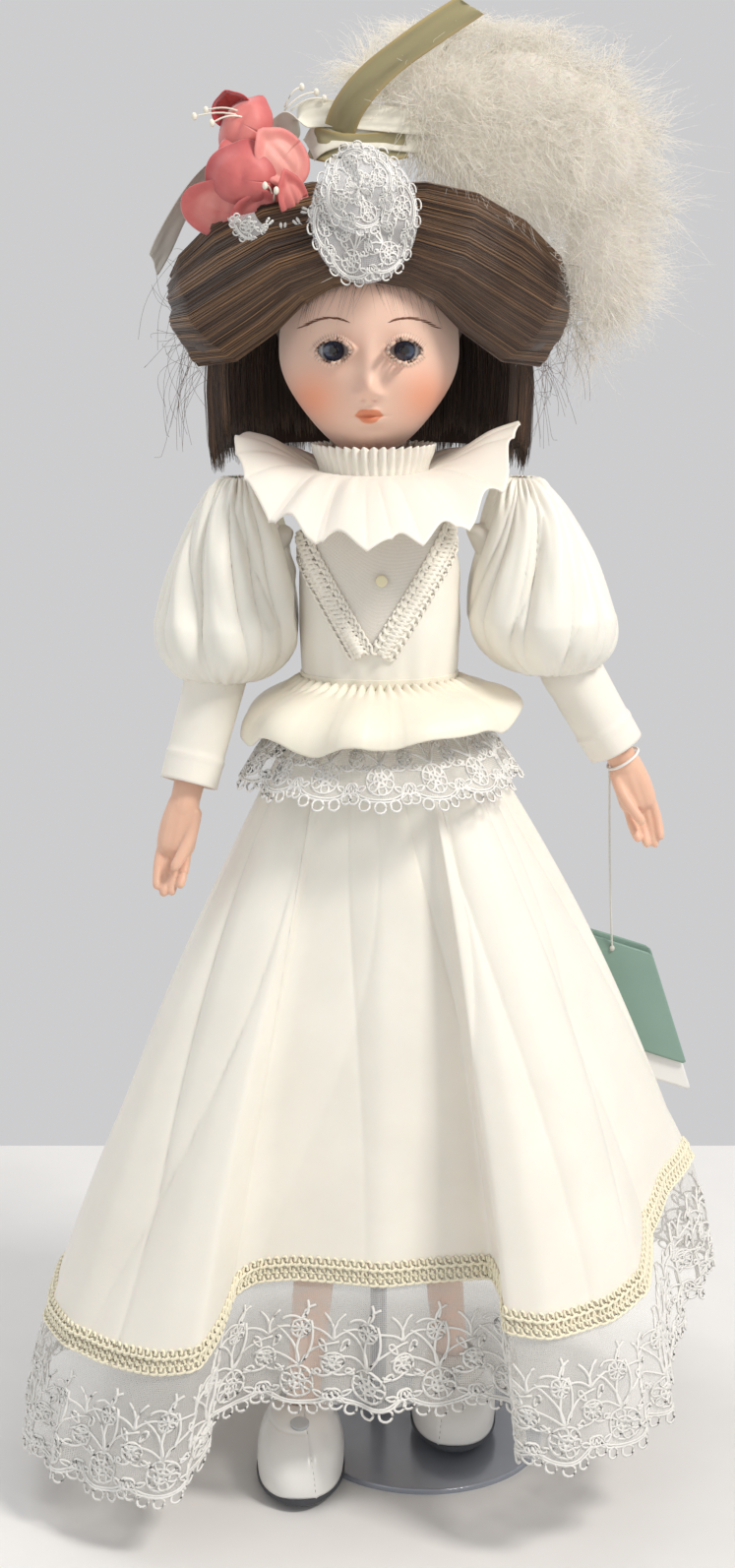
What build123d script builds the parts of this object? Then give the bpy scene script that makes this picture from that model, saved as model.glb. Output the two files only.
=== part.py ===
from build123d import *
import math
import os

os.makedirs("parts", exist_ok=True)

# Millimetres.  The origin is on the floor, under the doll's own axis.
# +Z is up, the doll faces -Y, and +X is the doll's left-hand side.

# Stand
base_radius = 42.0
base_thickness = 2.0
base_centre = (16.0, -1.0)
boss_radius = 6.0
boss_height = 6.0
post_y = 22.0
post_radius = 3.0
post_top = 150.0
rod_radius = 2.0
rod_stop = 60.0
rod_top = 244.0
clip_wire_radius = 1.0
clip_block_height = 4.0
clip_opening_deg = 60.0
running_fit = 0.06

# Body
torso_sections = [
    (205.3, 17.0, 11.0), (222.0, 21.5, 15.0), (248.0, 19.5, 14.5),
    (268.0, 18.5, 13.5), (290.0, 20.0, 14.5), (300.0, 19.5, 14.0),
]
bodice_sections = [
    (276.0, 25.3, 19.5, 0.0), (292.0, 26.4, 21.0, 0.0), (312.0, 26.4, 20.0, 0.0),
    (326.0, 23.6, 17.8, -1.0), (335.0, 19.0, 16.9, -3.0),
]
plate_bottom = 301.0
plate_wall = 2.6
cloth = 1.1
soft_gap = 0.3
seam_gap = 0.15

# Head, on the swivel axis beside the body's axis
head_x = -3.5
head_y = 3.0
head_z = 386.0
head_half = (28.5, 32.0, 39.0)
head_wall = 2.5
crown_cut = 408.0
neck_z = 337.0
neck_radius = 12.6
eye_radius = 7.0
eye_offset = 11.2
eye_y = -16.2
eye_z = 381.6
eye_opening = (6.0, 4.2)
cap_thickness = 1.5
crown_half = (36.0, 41.0, 44.0)
crown_y = 6.0
hairline_z = 403.0
roll_offset = 42.0
roll_half = (21.5, 23.0, 31.0)
roll_y = -3.0
roll_z = 394.0
fall_inner = 46.5
fall_outer = 58.0
fall_bottom = 342.5
fall_top = 398.0
fall_front = 8.0

# Arms; index 0 is the doll's right arm, index 1 its left
side_names = ["right", "left"]
side_signs = [-1.0, 1.0]
shoulder_z = 318.0
shoulder_x = 36.0
arm_start = 26.7
upper_arm_radius = 7.5
puff_x = 47.4
puff_z = 306.5
puff_radius = 20.5
puff_half_height = 33.5
puff_inner_x = 27.2
gather_radius = 1.5
elbows = [(-51.0, 1.0, 282.0), (56.0, 5.0, 285.0)]
wrists = [(-64.6, -13.0, 234.5), (83.5, 10.5, 243.5)]
hand_dirs = [(-0.20, -0.12, -1.0), (0.34, 0.02, -1.0)]
sleeve_radii = (10.2, 9.2)
forearm_radii = (6.3, 5.0)
cuff_back = 6.0
sleeve_overlap = 9.0
palm_half = (6.6, 3.4, 8.4)
finger_radius = 1.7
finger_length = 11.0
finger_spread = 3.0

# Legs
hip_x = 11.0
hip_z = 196.0
hip_radius = 9.0
knee_share = 0.5
knee_radius = 8.0
ankle_radius = 5.6
shoe_centres = [(-27.0, -30.0, 2.6), (26.5, 0.0, 6.0)]
shoe_half = (14.6, 25.0, 19.0)
shoe_wall = 1.3
sole_thickness = 2.4
sole_lip = 0.6
ankle_back = 9.0
shoe_top_hole = 7.4
button_radius = 3.2

# Dress
waist_z = 266.0
waist_half = (24.4, 19.0)
waistband_height = 7.6
# one row per fold: azimuth from the front towards the doll's left, radius, height
hem_folds = [
    (-180, 106, 70), (-158, 116, 66), (-140, 103, 70), (-122, 114, 64), (-104, 104, 68),
    (-88, 112, 62), (-72, 116, 60), (-60, 114, 60), (-50, 108, 61), (-43, 93, 64),
    (-39, 72, 74), (-34, 60, 81), (-22, 56, 82), (0, 55, 82), (22, 57, 83),
    (33, 63, 83), (38, 84, 80), (44, 99, 76), (55, 104, 80), (72, 95, 90),
    (86, 96, 97), (99, 115, 98), (116, 102, 92), (138, 116, 84), (160, 104, 76),
]
lace_drop = 42.0
lace_flare = 11.0
braid_height = 8.0
braid_depth = 1.4
peplum_top_z = 272.0
peplum_bottom = (41.0, 43.0, 257.5)
peplum_lace_top_z = 266.0
peplum_lace_bottom = (46.0, 49.0, 240.5)
collar_inner = 18.6
collar_inner_z = 341.0
# azimuth, radius, height
collar_folds = [
    (-180, 38, 342), (-135, 39, 344), (-95, 43, 350), (-70, 45, 342), (-45, 44, 331),
    (-20, 46, 325), (0, 47, 323), (20, 46, 325), (45, 43, 334), (70, 43, 345),
    (95, 42, 353), (135, 39, 347),
]
neckband_radii = (17.4, 18.3)
neckband_z = (335.3, 345.0)

# Hat
hat_centre = (-10.0, -6.0)
hat_radius = 24.0
hat_thickness = 1.5
rose_centre = (-42.0, -15.0, 438.0)
rose_core = 9.0
petal_half = (13.0, 8.0, 9.0)
petal_ring = 11.0
petal_count = 5
stamen_count = 5
stamen_reach = 13.0
rosette_centre = (-6.0, -27.0, 423.0)
rosette_half = (17.5, 11.0, 20.5)
plume_centre = (53.0, 9.0, 440.0)
plume_half = (45.0, 22.0, 46.0)
quill_radius = 0.8

# Wrist tag
string_route = [(78.4, 10.4, 240.0), (79.3, 14.6, 217.5), (80.6, 19.6, 195.5), (82.4, 25.6, 173.0)]
string_radius = 0.35
loop_wire = 0.5
loop_gap = 0.25
tag_size = (24.0, 1.2, 43.0)
tag_hole_inset = (8.0, 3.0)
tag_tilt = -18.0
tag_hole_radius = 1.6


def ellipsoid(centre, half, grow=0.0, seam=(1, 0, 0)):
    # the surface's seam faces the given way, clear of what cuts the solid
    body = Solid.make_sphere(1.0, Plane((0, 0, 0), x_dir=seam, z_dir=(0, 0, 1)), -90, 90, 360)
    shaped = body.transform_geometry(Matrix([
        [half[0] + grow, 0, 0, centre[0]],
        [0, half[1] + grow, 0, centre[1]],
        [0, 0, half[2] + grow, centre[2]],
    ]))
    return shaped


def sections_loft(rows, grow=0.0):
    # a solid through elliptical sections: height, half-width, half-depth, centre x
    wires = []
    for row in rows:
        cx = row[3] if len(row) > 3 else 0.0
        oval = Edge.make_ellipse(row[1] + grow, row[2] + grow, Plane((cx, 0, row[0])))
        wires.append(Wire([oval]))
    return Solid.make_loft(wires)


def taper(start, end, r_start, r_end):
    # a straight round rod or cone frustum from one point to another
    line = Vector(*end) - Vector(*start)
    plane = Plane(origin=start, z_dir=line)
    if r_start == r_end:
        return Solid.make_cylinder(r_start, line.length, plane)
    return Solid.make_cone(r_start, r_end, line.length, plane)


def ball(centre, radius):
    return Solid.make_sphere(radius, Plane(origin=centre), -90, 90, 360)


def block(low, high):
    return Solid.make_box(*[high[i] - low[i] for i in range(3)], Plane(origin=low))


def polar(azimuth, radius, z, squash=1.0):
    turn = math.radians(azimuth)
    return Vector(radius * math.sin(turn), -radius * squash * math.cos(turn), z)


def fold_points(rows):
    return [polar(*row) for row in rows]


def oval_points(rows, half, z):
    # the points of an oval at the azimuths of the given folds
    return [
        Vector(half[0] * math.sin(math.radians(row[0])), -half[1] * math.cos(math.radians(row[0])), z)
        for row in rows
    ]


def between(first, second, share):
    return [a * (1 - share) + b * share for a, b in zip(first, second)]


def pushed(points, distance):
    # each point moved outwards, square to the loop through its neighbours
    count = len(points)
    moved = []
    for i, point in enumerate(points):
        along = points[(i + 1) % count] - points[i - 1]
        outward = Vector(along.Y, -along.X, 0).normalized()
        moved.append(point + outward * distance)
    return moved


def lifted(points, rise):
    return [point + Vector(0, 0, rise) for point in points]


def loop_edge(points):
    count = len(points)
    return Edge.make_spline(points, periodic=True, parameters=[i / count for i in range(count + 1)])


def band(outer_top, outer_bottom, inner_top, inner_bottom):
    # a closed sheet between four loops
    loops = [loop_edge(points) for points in (outer_top, outer_bottom, inner_bottom, inner_top)]
    faces = [Face.make_surface_from_curves(loops[i], loops[(i + 1) % 4]) for i in range(4)]
    return Solid(Shell(faces))


far = 90.0
front_seam = (0, -1, 0)


def save(part, name):
    part.label = name
    export_step(part, f"parts/{name}.step")
    return part


# ---------------------------------------------------------------- stand
with BuildPart() as stand_base:
    with BuildSketch():
        with Locations(base_centre):
            Circle(base_radius)
    extrude(amount=base_thickness)
    fillet(stand_base.edges().group_by(Axis.Z)[-1], 0.6)
    with BuildSketch(Plane.XY.offset(base_thickness)):
        with Locations((0, post_y)):
            Circle(boss_radius)
    extrude(amount=boss_height)
    with BuildSketch(Plane.XY.offset(base_thickness)):
        with Locations((0, post_y)):
            Circle(post_radius)
    extrude(amount=boss_height, mode=Mode.SUBTRACT)
save(stand_base.part, "stand_base")

with BuildPart() as stand_post:
    with BuildSketch(Plane.XY.offset(base_thickness)):
        with Locations((0, post_y)):
            Circle(post_radius)
    extrude(amount=post_top - base_thickness)
    with BuildSketch(Plane.XY.offset(rod_stop)):
        with Locations((0, post_y)):
            Circle(rod_radius + running_fit)
    extrude(amount=post_top - rod_stop, mode=Mode.SUBTRACT)
save(stand_post.part, "stand_post")

with BuildPart() as stand_rod:
    with BuildSketch(Plane.XY.offset(rod_stop)):
        with Locations((0, post_y)):
            Circle(rod_radius)
    extrude(amount=rod_top - rod_stop)
save(stand_rod.part, "stand_rod")

clip_z = rod_top + clip_block_height / 2
clip_half = [half + soft_gap + clip_wire_radius for half in (19.9, 14.7)]
with BuildPart() as waist_clip:
    with BuildLine(Plane.XY.offset(clip_z)) as clip_path:
        EllipticalCenterArc((0, 0), *clip_half, start_angle=clip_opening_deg - 90,
                            arc_size=360 - 2 * clip_opening_deg)
    with BuildSketch(Plane(origin=clip_path.line @ 0, z_dir=clip_path.line % 0)):
        Circle(clip_wire_radius)
    sweep(path=clip_path.line)
    add(block((-3, clip_half[1] - 0.5, rod_top), (3, post_y + rod_radius + 1, rod_top + clip_block_height)))
save(waist_clip.part, "waist_clip")

# ---------------------------------------------------------------- body
with BuildPart() as torso:
    add(sections_loft(torso_sections))
save(torso.part, "torso")

plate_sections = [(plate_bottom,) + bodice_sections[2][1:]] + bodice_sections[2:]
socket = ball((head_x, 0, neck_z), neck_radius + 0.25)
with BuildPart() as shoulder_plate:
    add(sections_loft(plate_sections, -cloth - soft_gap))
    cavity = [(z - plate_wall, a, b, cx) for z, a, b, cx in plate_sections[:-1]]
    add(sections_loft(cavity, -cloth - soft_gap - plate_wall), mode=Mode.SUBTRACT)
    add(socket, mode=Mode.SUBTRACT)
save(shoulder_plate.part, "shoulder_plate")

with BuildPart() as bodice:
    add(sections_loft(bodice_sections))
    add(sections_loft(bodice_sections, -cloth), mode=Mode.SUBTRACT)
save(bodice.part, "bodice")

v_low = (-2.0, 285.0)
v_tops = [(-23.0, 324.0), (23.0, 329.0)]
v_width = 6.0
with BuildPart() as yoke_front:
    with BuildSketch(Plane.XZ):
        Polygon(v_low, v_tops[1], (14.0, 329.5), (-14.0, 326.5), v_tops[0], align=None)
    extrude(amount=40)
    add(sections_loft(bodice_sections, seam_gap + 0.6), mode=Mode.INTERSECT)
    add(sections_loft(bodice_sections, seam_gap), mode=Mode.SUBTRACT)
save(yoke_front.part, "yoke_panel")

with BuildPart() as v_braid:
    with BuildSketch(Plane.XZ):
        Polygon(
            (v_low[0], v_low[1] - v_width), (v_tops[1][0] + 2, v_tops[1][1] - v_width), v_tops[1],
            v_low, v_tops[0], (v_tops[0][0] - 2, v_tops[0][1] - v_width), align=None)
    extrude(amount=40)
    add(sections_loft(bodice_sections, seam_gap + 1.6), mode=Mode.INTERSECT)
    add(sections_loft(bodice_sections, seam_gap), mode=Mode.SUBTRACT)
    add(yoke_front.part, mode=Mode.SUBTRACT)
save(v_braid.part, "v_braid")

with BuildPart() as yoke_button:
    with BuildSketch(Plane((0.5, -21.3, 309.0), z_dir=(0, -1, 0))):
        Circle(1.9)
    extrude(amount=1.3)
    fillet(yoke_button.edges().sort_by(Axis.Y)[0], 0.5)
save(yoke_button.part, "yoke_button")

with BuildPart() as neckband:
    with BuildSketch(Plane.XY.offset(neckband_z[0])):
        with Locations((-2.0, 0)):
            Circle(neckband_radii[1])
            Circle(neckband_radii[0], mode=Mode.SUBTRACT)
    extrude(amount=neckband_z[1] - neckband_z[0])
save(neckband.part, "neckband")

collar_rim = fold_points(collar_folds)
collar_root = [point + Vector(-2.0, 0, 0) for point in
               oval_points(collar_folds, (collar_inner, collar_inner), collar_inner_z)]
with BuildPart() as collar_ruffle:
    add(band(lifted(collar_root, cloth), lifted(collar_rim, cloth), collar_root, collar_rim))
save(collar_ruffle.part, "collar_ruffle")

with BuildPart() as waistband:
    band_z = bodice_sections[0][0] - waistband_height - soft_gap
    with BuildSketch(Plane.XY.offset(band_z)):
        Ellipse(bodice_sections[0][1], bodice_sections[0][2])
        Ellipse(bodice_sections[0][1] - cloth, bodice_sections[0][2] - cloth, mode=Mode.SUBTRACT)
    extrude(amount=waistband_height)
save(waistband.part, "waistband")

ring_rows = [(azimuth,) for azimuth in range(-180, 180, 15)]


def flounce(top_half, top_z, bottom_half, bottom_z, wave):
    # a flared ring whose lower edge waves in and out
    top = oval_points(ring_rows, top_half, top_z)
    bottom = []
    for i, point in enumerate(oval_points(ring_rows, bottom_half, bottom_z)):
        bottom.append(point * 1.0 + Vector(0, 0, wave * math.cos(math.pi * i)))
    return band(top, bottom, lifted(top, -cloth), lifted(bottom, -cloth))


with BuildPart() as peplum:
    root = (bodice_sections[0][1] + soft_gap, bodice_sections[0][2] + soft_gap)
    add(flounce(root, peplum_top_z, peplum_bottom[:2], peplum_bottom[2], 1.2))
save(peplum.part, "peplum")

with BuildPart() as peplum_lace:
    root = (bodice_sections[0][1] - 0.3, bodice_sections[0][2] - 0.3)
    add(flounce(root, peplum_lace_top_z + 2.0, peplum_lace_bottom[:2], peplum_lace_bottom[2], 1.2))
save(peplum_lace.part, "peplum_lace")

hem = fold_points(hem_folds)
skirt_root = oval_points(hem_folds, waist_half, waist_z)
skirt_inner_root = oval_points(hem_folds, (waist_half[0] - cloth, waist_half[1] - cloth), waist_z)
with BuildPart() as skirt:
    add(band(skirt_root, hem, skirt_inner_root, pushed(hem, -cloth)))
save(skirt.part, "skirt")

skirt_length = waist_z - 75.0
braid_share = 1 - braid_height / skirt_length
with BuildPart() as hem_braid:
    upper = between(skirt_root, hem, braid_share)
    add(band(pushed(upper, soft_gap + braid_depth), pushed(hem, soft_gap + braid_depth),
             pushed(upper, soft_gap), pushed(hem, soft_gap)))
save(hem_braid.part, "hem_braid")

with BuildPart() as skirt_lace:
    top = lifted(hem, -soft_gap)
    low = lifted(pushed(hem, lace_flare), -lace_drop)
    add(band(top, low, pushed(top, -cloth), pushed(low, -cloth)))
save(skirt_lace.part, "skirt_lace")

# ---------------------------------------------------------------- head
head_centre = (head_x, head_y, head_z)
crown_centre = (head_x, crown_y, head_z)
skull = ellipsoid(head_centre, head_half)
cavity = ellipsoid(head_centre, head_half, -head_wall)
eye_centres = [(head_x - eye_offset, eye_y, eye_z), (head_x + eye_offset, eye_y, eye_z)]

with BuildPart() as head_shell:
    add(skull)
    add(ellipsoid((head_x, -29.5, 369.5), (3.4, 4.0, 5.0)))
    add(taper((head_x, 0, neck_z), (head_x, 1.5, 360.0), neck_radius, neck_radius + 1.5))
    add(ball((head_x, 0, neck_z), neck_radius))
    add(cavity, mode=Mode.SUBTRACT)
    add(block((-far, -far, crown_cut), (far, far, crown_cut + far)), mode=Mode.SUBTRACT)
    for x, y, z in eye_centres:
        with BuildSketch(Plane((x, y, z), z_dir=(0, -1, 0))):
            Ellipse(*eye_opening)
        extrude(amount=30, mode=Mode.SUBTRACT)
        add(ball((x, y, z), eye_radius + 0.05), mode=Mode.SUBTRACT)
save(head_shell.part, "head_shell")

for centre, side in zip(eye_centres, side_names):
    with BuildPart() as eye:
        add(ball(centre, eye_radius))
    save(eye.part, f"eye_{side}")

with BuildPart() as pate:
    add(skull)
    add(cavity, mode=Mode.SUBTRACT)
    add(block((-far, -far, 0), (far, far, crown_cut + 0.1)), mode=Mode.SUBTRACT)
save(pate.part, "pate")

face_window = block((-far, -far, 0), (far, -12.0, hairline_z - 2.0))
with BuildPart() as wig_cap:
    add(ellipsoid(head_centre, head_half, soft_gap + cap_thickness))
    add(ellipsoid(head_centre, head_half, soft_gap), mode=Mode.SUBTRACT)
    add(face_window, mode=Mode.SUBTRACT)
    add(block((-far, -far, 0), (far, far, 366.0)), mode=Mode.SUBTRACT)
save(wig_cap.part, "wig_cap")

cap_outer = ellipsoid(head_centre, head_half, 2 * soft_gap + cap_thickness)
with BuildPart() as hair_crown:
    add(ellipsoid(crown_centre, crown_half))
    add(cap_outer, mode=Mode.SUBTRACT)
    add(block((-far, -far, 0), (far, -10.0, hairline_z)), mode=Mode.SUBTRACT)
    add(block((-far, -far, 0), (far, far, 364.0)), mode=Mode.SUBTRACT)
save(hair_crown.part, "hair_crown")

crown_cut_solid = ellipsoid(crown_centre, crown_half, seam_gap)
roll_cuts = []
for sign, side in zip(side_signs, side_names):
    centre = (head_x + sign * roll_offset, roll_y, roll_z)
    roll_cuts.append(ellipsoid(centre, roll_half, seam_gap, front_seam))
    with BuildPart() as hair_roll:
        add(ellipsoid(centre, roll_half, 0, front_seam))
        add(crown_cut_solid, mode=Mode.SUBTRACT)
        add(cap_outer, mode=Mode.SUBTRACT)
    save(hair_roll.part, f"hair_roll_{side}")

with BuildPart() as hair_fall:
    with BuildSketch(Plane.XY.offset(fall_bottom)):
        with Locations((head_x, 0)):
            Circle(fall_outer)
    extrude(amount=fall_top - fall_bottom)
    with BuildSketch(Plane.XY.offset(fall_bottom)):
        with Locations((head_x, 0)):
            Circle(fall_inner)
    extrude(amount=18.0, mode=Mode.SUBTRACT)
    add(taper((head_x, 0, fall_bottom + 18.0), (head_x, 0, 376.0), fall_inner, 36.0), mode=Mode.SUBTRACT)
    add(crown_cut_solid, mode=Mode.SUBTRACT)
    add(cap_outer, mode=Mode.SUBTRACT)
    for cut in roll_cuts:
        add(cut, mode=Mode.SUBTRACT)
    add(block((-far, -far, 0), (far, fall_front, 500)), mode=Mode.SUBTRACT)
save(hair_fall.part, "hair_fall")

# ---------------------------------------------------------------- hat
with BuildPart() as hat_base:
    with BuildSketch(Plane.XY.offset(head_z)):
        with Locations(hat_centre):
            Circle(hat_radius)
    extrude(amount=80)
    add(ellipsoid(crown_centre, crown_half, soft_gap + hat_thickness), mode=Mode.INTERSECT)
    add(ellipsoid(crown_centre, crown_half, soft_gap), mode=Mode.SUBTRACT)
    for cut in roll_cuts:
        add(cut, mode=Mode.SUBTRACT)
save(hat_base.part, "hat_base")

hat_keepout = ellipsoid(crown_centre, crown_half, soft_gap + hat_thickness + seam_gap)


def clear_of_hair():
    add(hat_keepout, mode=Mode.SUBTRACT)
    for cut in roll_cuts:
        add(cut, mode=Mode.SUBTRACT)


with BuildPart() as rose:
    add(ball(rose_centre, rose_core))
    for i in range(petal_count):
        turn = math.radians(90 + 360 * i / petal_count)
        centre = (rose_centre[0] + petal_ring * math.cos(turn), rose_centre[1],
                  rose_centre[2] + petal_ring * math.sin(turn))
        petal = ellipsoid((0, 0, 0), petal_half)
        add(Pos(*centre) * Rot(0, -math.degrees(turn), 0) * petal)
    clear_of_hair()
save(rose.part, "rose")

with BuildPart() as rose_stamens:
    with BuildSketch(Plane((rose_centre[0], rose_centre[1] - rose_core - 0.2, rose_centre[2]), z_dir=(0, -1, 0))):
        Circle(2.0)
        for i in range(stamen_count):
            with Locations(Location((0, 0), 95 + 22 * i)):
                with Locations((stamen_reach / 2, 0)):
                    Rectangle(stamen_reach, 0.8)
                with Locations((stamen_reach, 0)):
                    Circle(1.0)
    extrude(amount=1.2)
save(rose_stamens.part, "rose_stamens")

with BuildPart() as lace_rosette:
    add(ellipsoid(rosette_centre, rosette_half))
    clear_of_hair()
    add(rose.part, mode=Mode.SUBTRACT)
save(lace_rosette.part, "lace_rosette")


def ribbon(start, end, width, thickness):
    # a flat strip from one point to another, its width standing in the X-Z plane
    line = Vector(*end) - Vector(*start)
    profile = Face.make_rect(thickness, width, Plane(origin=start, x_dir=Vector(0, 1, 0), z_dir=line))
    return Solid.extrude(profile, line)


with BuildPart() as ribbon_olive:
    add(ribbon((-12.0, 6.0, 440.0), (28.5, 4.0, 486.0), 8.5, 1.0))
    clear_of_hair()
save(ribbon_olive.part, "ribbon_olive")

with BuildPart() as ribbon_cream:
    add(ribbon((-36.0, -4.0, 447.0), (24.0, -4.0, 447.5), 11.0, 1.0))
    clear_of_hair()
    add(rose.part, mode=Mode.SUBTRACT)
    add(lace_rosette.part, mode=Mode.SUBTRACT)
save(ribbon_cream.part, "ribbon_cream")

with BuildPart() as ribbon_tail:
    add(ribbon((-44.0, 3.0, 441.0), (-74.0, 1.0, 409.0), 9.0, 1.0))
    clear_of_hair()
    add(rose.part, mode=Mode.SUBTRACT)
save(ribbon_tail.part, "ribbon_tail")

with BuildPart() as feather_quill:
    add(taper((4.0, 2.0, 434.0), (66.0, 9.0, 452.0), quill_radius, quill_radius / 2))
    clear_of_hair()
    add(ribbon_olive.part, mode=Mode.SUBTRACT)
    add(ribbon_cream.part, mode=Mode.SUBTRACT)
save(feather_quill.part, "feather_quill")

with BuildPart() as feather_plume:
    add(ellipsoid(plume_centre, plume_half))
    clear_of_hair()
    add(taper((head_x, 0, 0), (head_x, 0, fall_top + seam_gap), fall_outer + seam_gap, fall_outer + seam_gap),
        mode=Mode.SUBTRACT)
    for piece in (feather_quill, ribbon_olive, ribbon_cream, lace_rosette):
        add(piece.part, mode=Mode.SUBTRACT)
save(feather_plume.part, "feather_plume")

# ---------------------------------------------------------------- arms
for index, (sign, side) in enumerate(zip(side_signs, side_names)):
    elbow = elbows[index]
    wrist = wrists[index]
    start = (sign * arm_start, 0, shoulder_z)
    shoulder = (sign * shoulder_x, 0, shoulder_z)
    run = (Vector(*wrist) - Vector(*elbow)).normalized()
    cuff = tuple(Vector(*wrist) - run * cuff_back)
    inside = tuple(Vector(*elbow) - run * sleeve_overlap)
    with BuildPart() as upper_arm:
        add(taper(start, shoulder, upper_arm_radius, upper_arm_radius))
        add(ball(shoulder, upper_arm_radius))
        add(taper(shoulder, elbow, upper_arm_radius, forearm_radii[0]))
        add(ball(elbow, forearm_radii[0]))
        add(taper(elbow, wrist, 30, 30), mode=Mode.SUBTRACT)
    save(upper_arm.part, f"upper_arm_{side}")

    with BuildPart() as sleeve_lower:
        add(taper(elbow, cuff, *sleeve_radii))
        add(taper(elbow, cuff, sleeve_radii[0] - cloth, sleeve_radii[1] - cloth), mode=Mode.SUBTRACT)
    save(sleeve_lower.part, f"sleeve_lower_{side}")

    with BuildPart() as sleeve_puff:
        with BuildSketch(Plane.XZ):
            with Locations((sign * puff_x, puff_z)):
                Ellipse(puff_radius, puff_half_height)
                Ellipse(puff_radius - cloth, puff_half_height - cloth, mode=Mode.SUBTRACT)
            with Locations((sign * puff_x - far / 2, puff_z)):
                Rectangle(far + 2 * gather_radius, far, mode=Mode.SUBTRACT)
        revolve(axis=Axis((sign * puff_x, 0, 0), (0, 0, 1)))
        add(taper((sign * 20.0, 0, shoulder_z), shoulder, upper_arm_radius + soft_gap,
                  upper_arm_radius + soft_gap), mode=Mode.SUBTRACT)
        add(taper(inside, cuff, sleeve_radii[0] + soft_gap, sleeve_radii[1] + soft_gap), mode=Mode.SUBTRACT)
        add(block((-puff_inner_x, -far, 0), (puff_inner_x, far, 500)), mode=Mode.SUBTRACT)
    save(sleeve_puff.part, f"sleeve_puff_{side}")

    point = Vector(*hand_dirs[index]).normalized()
    flat = Plane(origin=wrist, x_dir=Vector(-sign * 0.35, 1, 0), z_dir=point)
    with BuildPart() as forearm:
        add(taper(elbow, wrist, forearm_radii[0] - 0.2, forearm_radii[1]))
        add(ball(wrist, forearm_radii[1]))
        palm = ellipsoid((0, 0, 0), palm_half)
        add(flat.location * Pos(0, 0, palm_half[2]) * palm)
        for i in range(4):
            across = (i - 1.5) * finger_spread
            reach = finger_length - 1.6 * abs(i - 1.2)
            root = flat.from_local_coords((across, 0, 1.5 * palm_half[2]))
            tip = flat.from_local_coords((across * 1.1, 1.5 * (1 if i else 0), 1.5 * palm_half[2] + reach))
            add(taper(tuple(root), tuple(tip), finger_radius, finger_radius * 0.8))
            add(ball(tuple(tip), finger_radius * 0.8))
        thumb_root = flat.from_local_coords((-palm_half[0] * 0.6, 0, palm_half[2]))
        thumb_tip = flat.from_local_coords((-palm_half[0] - 2.6, 0.5, palm_half[2] * 2.0))
        add(taper(tuple(thumb_root), tuple(thumb_tip), finger_radius * 1.2, finger_radius * 0.8))
        add(ball(tuple(thumb_tip), finger_radius * 0.8))
    save(forearm.part, f"forearm_{side}")

# ---------------------------------------------------------------- legs
for index, (sign, side) in enumerate(zip(side_signs, side_names)):
    hip = Vector(sign * hip_x, 0, hip_z)
    sx, sy, sz = shoe_centres[index]
    floor = sz + sole_thickness
    ankle = Vector(sx, sy + ankle_back, floor + 12.0)
    knee = hip * (1 - knee_share) + ankle * knee_share
    with BuildPart() as upper_leg:
        add(ball(tuple(hip), hip_radius))
        add(taper(tuple(hip), tuple(knee), hip_radius, knee_radius))
    save(upper_leg.part, f"upper_leg_{side}")

    sole_plane = block((-far, -far, -far), (far, far, floor + seam_gap))
    with BuildPart() as lower_leg:
        add(taper(tuple(knee), tuple(ankle), knee_radius, ankle_radius))
        add(ball(tuple(ankle), ankle_radius))
        add(ellipsoid((sx, sy, floor), shoe_half, -shoe_wall - soft_gap))
        add(sole_plane, mode=Mode.SUBTRACT)
    save(lower_leg.part, f"lower_leg_{side}")

    with BuildPart() as shoe_upper:
        add(ellipsoid((sx, sy, floor), shoe_half))
        add(ellipsoid((sx, sy, floor), shoe_half, -shoe_wall), mode=Mode.SUBTRACT)
        add(sole_plane, mode=Mode.SUBTRACT)
        add(taper(tuple(ankle), tuple(knee), shoe_top_hole, shoe_top_hole + 2), mode=Mode.SUBTRACT)
    save(shoe_upper.part, f"shoe_upper_{side}")

    with BuildPart() as shoe_sole:
        with BuildSketch(Plane.XY.offset(sz)):
            with Locations((sx, sy)):
                Ellipse(shoe_half[0] + sole_lip, shoe_half[1] + sole_lip)
        extrude(amount=sole_thickness)
        fillet(shoe_sole.edges().group_by(Axis.Z)[0], 0.8)
    save(shoe_sole.part, f"shoe_sole_{side}")

    # the button stands on the instep, square to the upper
    share_y = -0.32
    share_z = math.sqrt(1 - share_y ** 2)
    seat = Vector(sx, sy + shoe_half[1] * share_y, floor + shoe_half[2] * share_z)
    normal = Vector(0, share_y / shoe_half[1], share_z / shoe_half[2]).normalized()
    with BuildPart() as shoe_button:
        with BuildSketch(Plane(origin=seat + normal * soft_gap, z_dir=normal)):
            Circle(button_radius)
        extrude(amount=1.2)
        chamfer(shoe_button.faces().sort_by(Axis.Z)[-1].edges(), 0.3)
    save(shoe_button.part, f"shoe_button_{side}")

# ---------------------------------------------------------------- wrist tag
left_wrist = Vector(*wrists[1])
left_point = (left_wrist - Vector(*elbows[1])).normalized()
loop_centre = left_wrist - left_point * 1.2
loop_radius = forearm_radii[1] + 0.2 + loop_gap + loop_wire
with BuildPart() as wrist_loop:
    add(Solid.make_torus(loop_radius, loop_wire, Plane(origin=loop_centre, z_dir=left_point)))
save(wrist_loop.part, "wrist_loop")

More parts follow.
